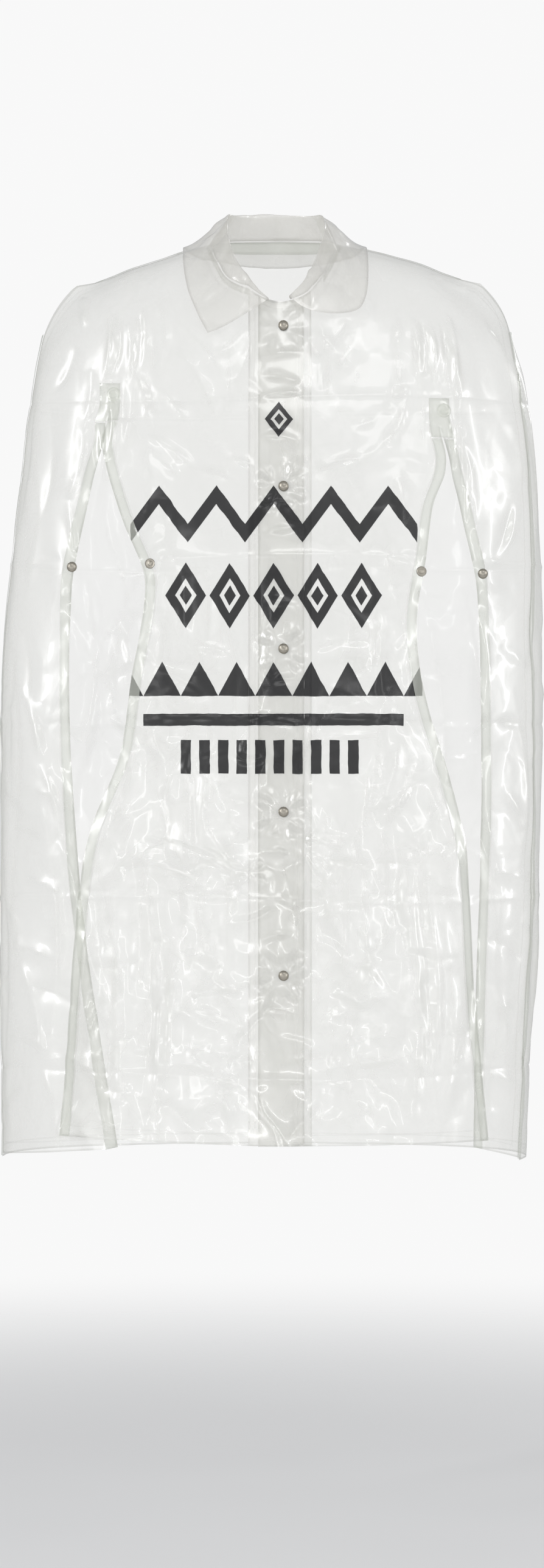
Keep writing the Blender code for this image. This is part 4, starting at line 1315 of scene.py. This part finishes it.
@dataclass
class Panels:
    """The wide back and the two fronts."""

    back_cut: tuple = (0.86, 1.12)
    left_cut: tuple = (0.38, 1.1)
    right_cut: tuple = (0.44, 1.1)
    puckers: tuple = tuple(Pucker(f"snap_cap_{i}", i * 1.7) for i in range(1, 6)) + tuple(
        Pucker(f"slit_{half}_{side}", 0.4, 0.5)
        for half in ("socket", "stud")
        for side in ("left", "right")
    )

    def build(self) -> dict:
        """Make the panels.

        Returns:
            The panels by node.
        """
        front = Drape(FRONT_CREASES, self.puckers)
        sheets = (
            Sheet("back", CLEAR, self.back_cut, 0.92, Slot.CLEAR, Hang.HUNG, (), Drape(BACK_CREASES)),
            Sheet("front_left", PRINTED_LEFT, self.left_cut, 0.342, Slot.CLEAR, Hang.HUNG, (), front),
            Sheet("front_right", PRINTED_RIGHT, self.right_cut, 0.403, Slot.CLEAR, Hang.HUNG, (), front),
        )
        return {sheet.node: sheet.build() for sheet in sheets}


@dataclass
class Collar:
    """The pointed shirt collar, and the facings inside the neckline."""

    cut: tuple = (0.45, 0.14)
    levels: int = 3

    def build(self, panels: dict) -> None:
        """Make the collar and its facings.

        Args:
            panels: The panels by node.
        """
        drape = Drape(COLLAR_CREASES, (), 0.7, 1.0, 3.7)
        Sheet("collar", THICK, self.cut, 0.058, Slot.DENSE, Hang.FOLDED, (), drape).build()
        for side, cut, area in (
            ("back", (0.2, 0.017), 0.003),
            ("left", (0.05, 0.012), 0.00045),
            ("right", (0.08, 0.012), 0.00075),
        ):
            base = panels["back"] if side == "back" else panels["front_" + side]
            Sheet("neck_facing_" + side, DOUBLED, cut, area, bases=(base,), levels=2).build()


@dataclass
class Closure:
    """The two bands down the front, and their snaps."""

    band_cut: tuple = (0.063, 1.09)
    underlap_cut: tuple = (0.06, 1.09)

    def build(self, panels: dict) -> None:
        """Make the bands and the snaps.

        Args:
            panels: The panels by node.
        """
        right, left = panels["front_right"], panels["front_left"]
        Sheet("snap_band", BAND, self.band_cut, bases=(right,), levels=4).build()
        Sheet("snap_underlap", UNDER, self.underlap_cut, bases=(left,), levels=4).build()
        for i in range(1, 6):
            Turned(f"snap_cap_{i}", right, CAP_TURN, NICKEL, Slot.METAL, 6.0).build()
            Turned(f"snap_stud_{i}", left, STUD_TURN, NICKEL, Slot.METAL, 5.4).build()


@dataclass
class ArmSlits:
    """What finishes the two arm slits: facings, patches, rings and open snaps."""

    def build(self, panels: dict) -> None:
        """Make the trim of both slits.

        Args:
            panels: The panels by node.
        """
        for side in ("left", "right"):
            base = panels["front_" + side]
            for strip in ("inner", "outer"):
                name = f"slit_facing_{strip}_{side}"
                Sheet(name, DOUBLED, (0.0125, 0.9), bases=(base,), levels=3).build()
            Sheet(f"slit_patch_{side}", DOUBLED, (0.025, 0.05), bases=(base,), levels=3).build()
            Turned(f"slit_ring_{side}", base, RING_TURN, DOUBLED, Slot.DENSE, 8.6).build()
            Turned(f"slit_socket_{side}", base, CAP_TURN, NICKEL, Slot.METAL, 6.0).build()
            Turned(f"slit_stud_{side}", base, STUD_TURN, NICKEL, Slot.METAL, 6.0).build()


@dataclass
class Seams:
    """The welded tapes over the shoulder and side seams."""

    def build(self, panels: dict) -> None:
        """Make the tapes.

        Args:
            panels: The panels by node.
        """
        for side in ("left", "right"):
            bases = (panels["back"], panels["front_" + side])
            for name, cut in (("shoulder_seam_", (0.01, 0.12)), ("side_seam_", (0.01, 1.0))):
                Sheet(name + side, DOUBLED, cut, bases=bases, levels=3).build()


@dataclass
class Studio:
    """The floor, the lights and the camera."""

    floor: float = -1.582
    eye: tuple = (-0.002, -4.6, -0.636)
    lens: float = 86.7

    def light(self, name: str, place: tuple, size: tuple, power: float) -> None:
        """Add a soft light that looks at the garment.

        Args:
            name: The light's name.
            place: Where it stands.
            size: Its width and height.
            power: Its power in watts.
        """
        lamp = bpy.data.lights.new(name, "AREA")
        lamp.shape = "RECTANGLE"
        lamp.size, lamp.size_y, lamp.energy = *size, power
        thing = bpy.data.objects.new(name, lamp)
        thing.location = place
        aim = Vector((0, 0, -0.5)) - Vector(place)
        thing.rotation_euler = aim.to_track_quat("-Z", "Y").to_euler()
        bpy.context.scene.collection.objects.link(thing)

    def surround(self) -> None:
        """Put pale paper behind the garment, and a dimmer room around it."""
        world = bpy.data.worlds.new("studio")
        world.use_nodes = True
        tree = world.node_tree
        room = tree.nodes["Background"]
        room.inputs["Color"].default_value = (0.97, 0.98, 1.0, 1.0)
        room.inputs["Strength"].default_value = 0.5
        paper = tree.nodes.new("ShaderNodeBackground")
        paper.inputs["Color"].default_value = (0.98, 0.98, 0.98, 1.0)
        paper.inputs["Strength"].default_value = 0.96
        mix = tree.nodes.new("ShaderNodeMixShader")
        path = tree.nodes.new("ShaderNodeLightPath")
        tree.links.new(path.outputs["Is Camera Ray"], mix.inputs[0])
        tree.links.new(room.outputs[0], mix.inputs[1])
        tree.links.new(paper.outputs[0], mix.inputs[2])
        tree.links.new(mix.outputs[0], tree.nodes["World Output"].inputs[0])
        bpy.context.scene.world = world
        bpy.context.scene.view_settings.view_transform = "Standard"

    def build(self) -> None:
        """Set up the studio."""
        work = bmesh.new()
        bmesh.ops.create_circle(work, cap_ends=True, segments=96, radius=3.0)
        bmesh.ops.translate(work, vec=(0, 0, self.floor), verts=work.verts)
        mesh = bpy.data.meshes.new("floor")
        work.to_mesh(mesh)
        work.free()
        mesh.materials.append(Paper().material())
        floor = bpy.data.objects.new("floor", mesh)
        bpy.context.scene.collection.objects.link(floor)
        self.surround()
        self.light("key", (-2.8, -2.4, 0.7), (0.24, 2.2), 40)
        self.light("fill", (2.9, -2.2, 0.1), (0.2, 2.2), 25)
        self.light("front", (0.8, -4.6, 2.0), (2.2, 0.7), 16)
        self.light("left strip", (-1.7, -4.2, -0.4), (0.12, 2.0), 8)
        self.light("right strip", (1.8, -4.2, -0.3), (0.12, 2.0), 8)
        self.light("low strip", (-0.3, -4.4, -1.3), (1.6, 0.1), 6)
        self.light("rim", (1.8, 2.6, 1.2), (0.6, 2.0), 12)
        camera = bpy.data.cameras.new("camera")
        camera.lens = self.lens
        thing = bpy.data.objects.new("camera", camera)
        thing.location = self.eye
        thing.rotation_euler = (math.pi / 2, 0, 0)
        bpy.context.scene.collection.objects.link(thing)
        bpy.context.scene.camera = thing


def main() -> None:
    """Build and dress the garment, piece by piece, and set up the studio."""
    logging.basicConfig(level=logging.INFO, format="%(message)s")
    noise.seed_set(NOISE_SEED)
    panels = Panels().build()
    Collar().build(panels)
    Closure().build(panels)
    ArmSlits().build(panels)
    Seams().build(panels)
    Studio().build()


if __name__ == "__main__":
    main()
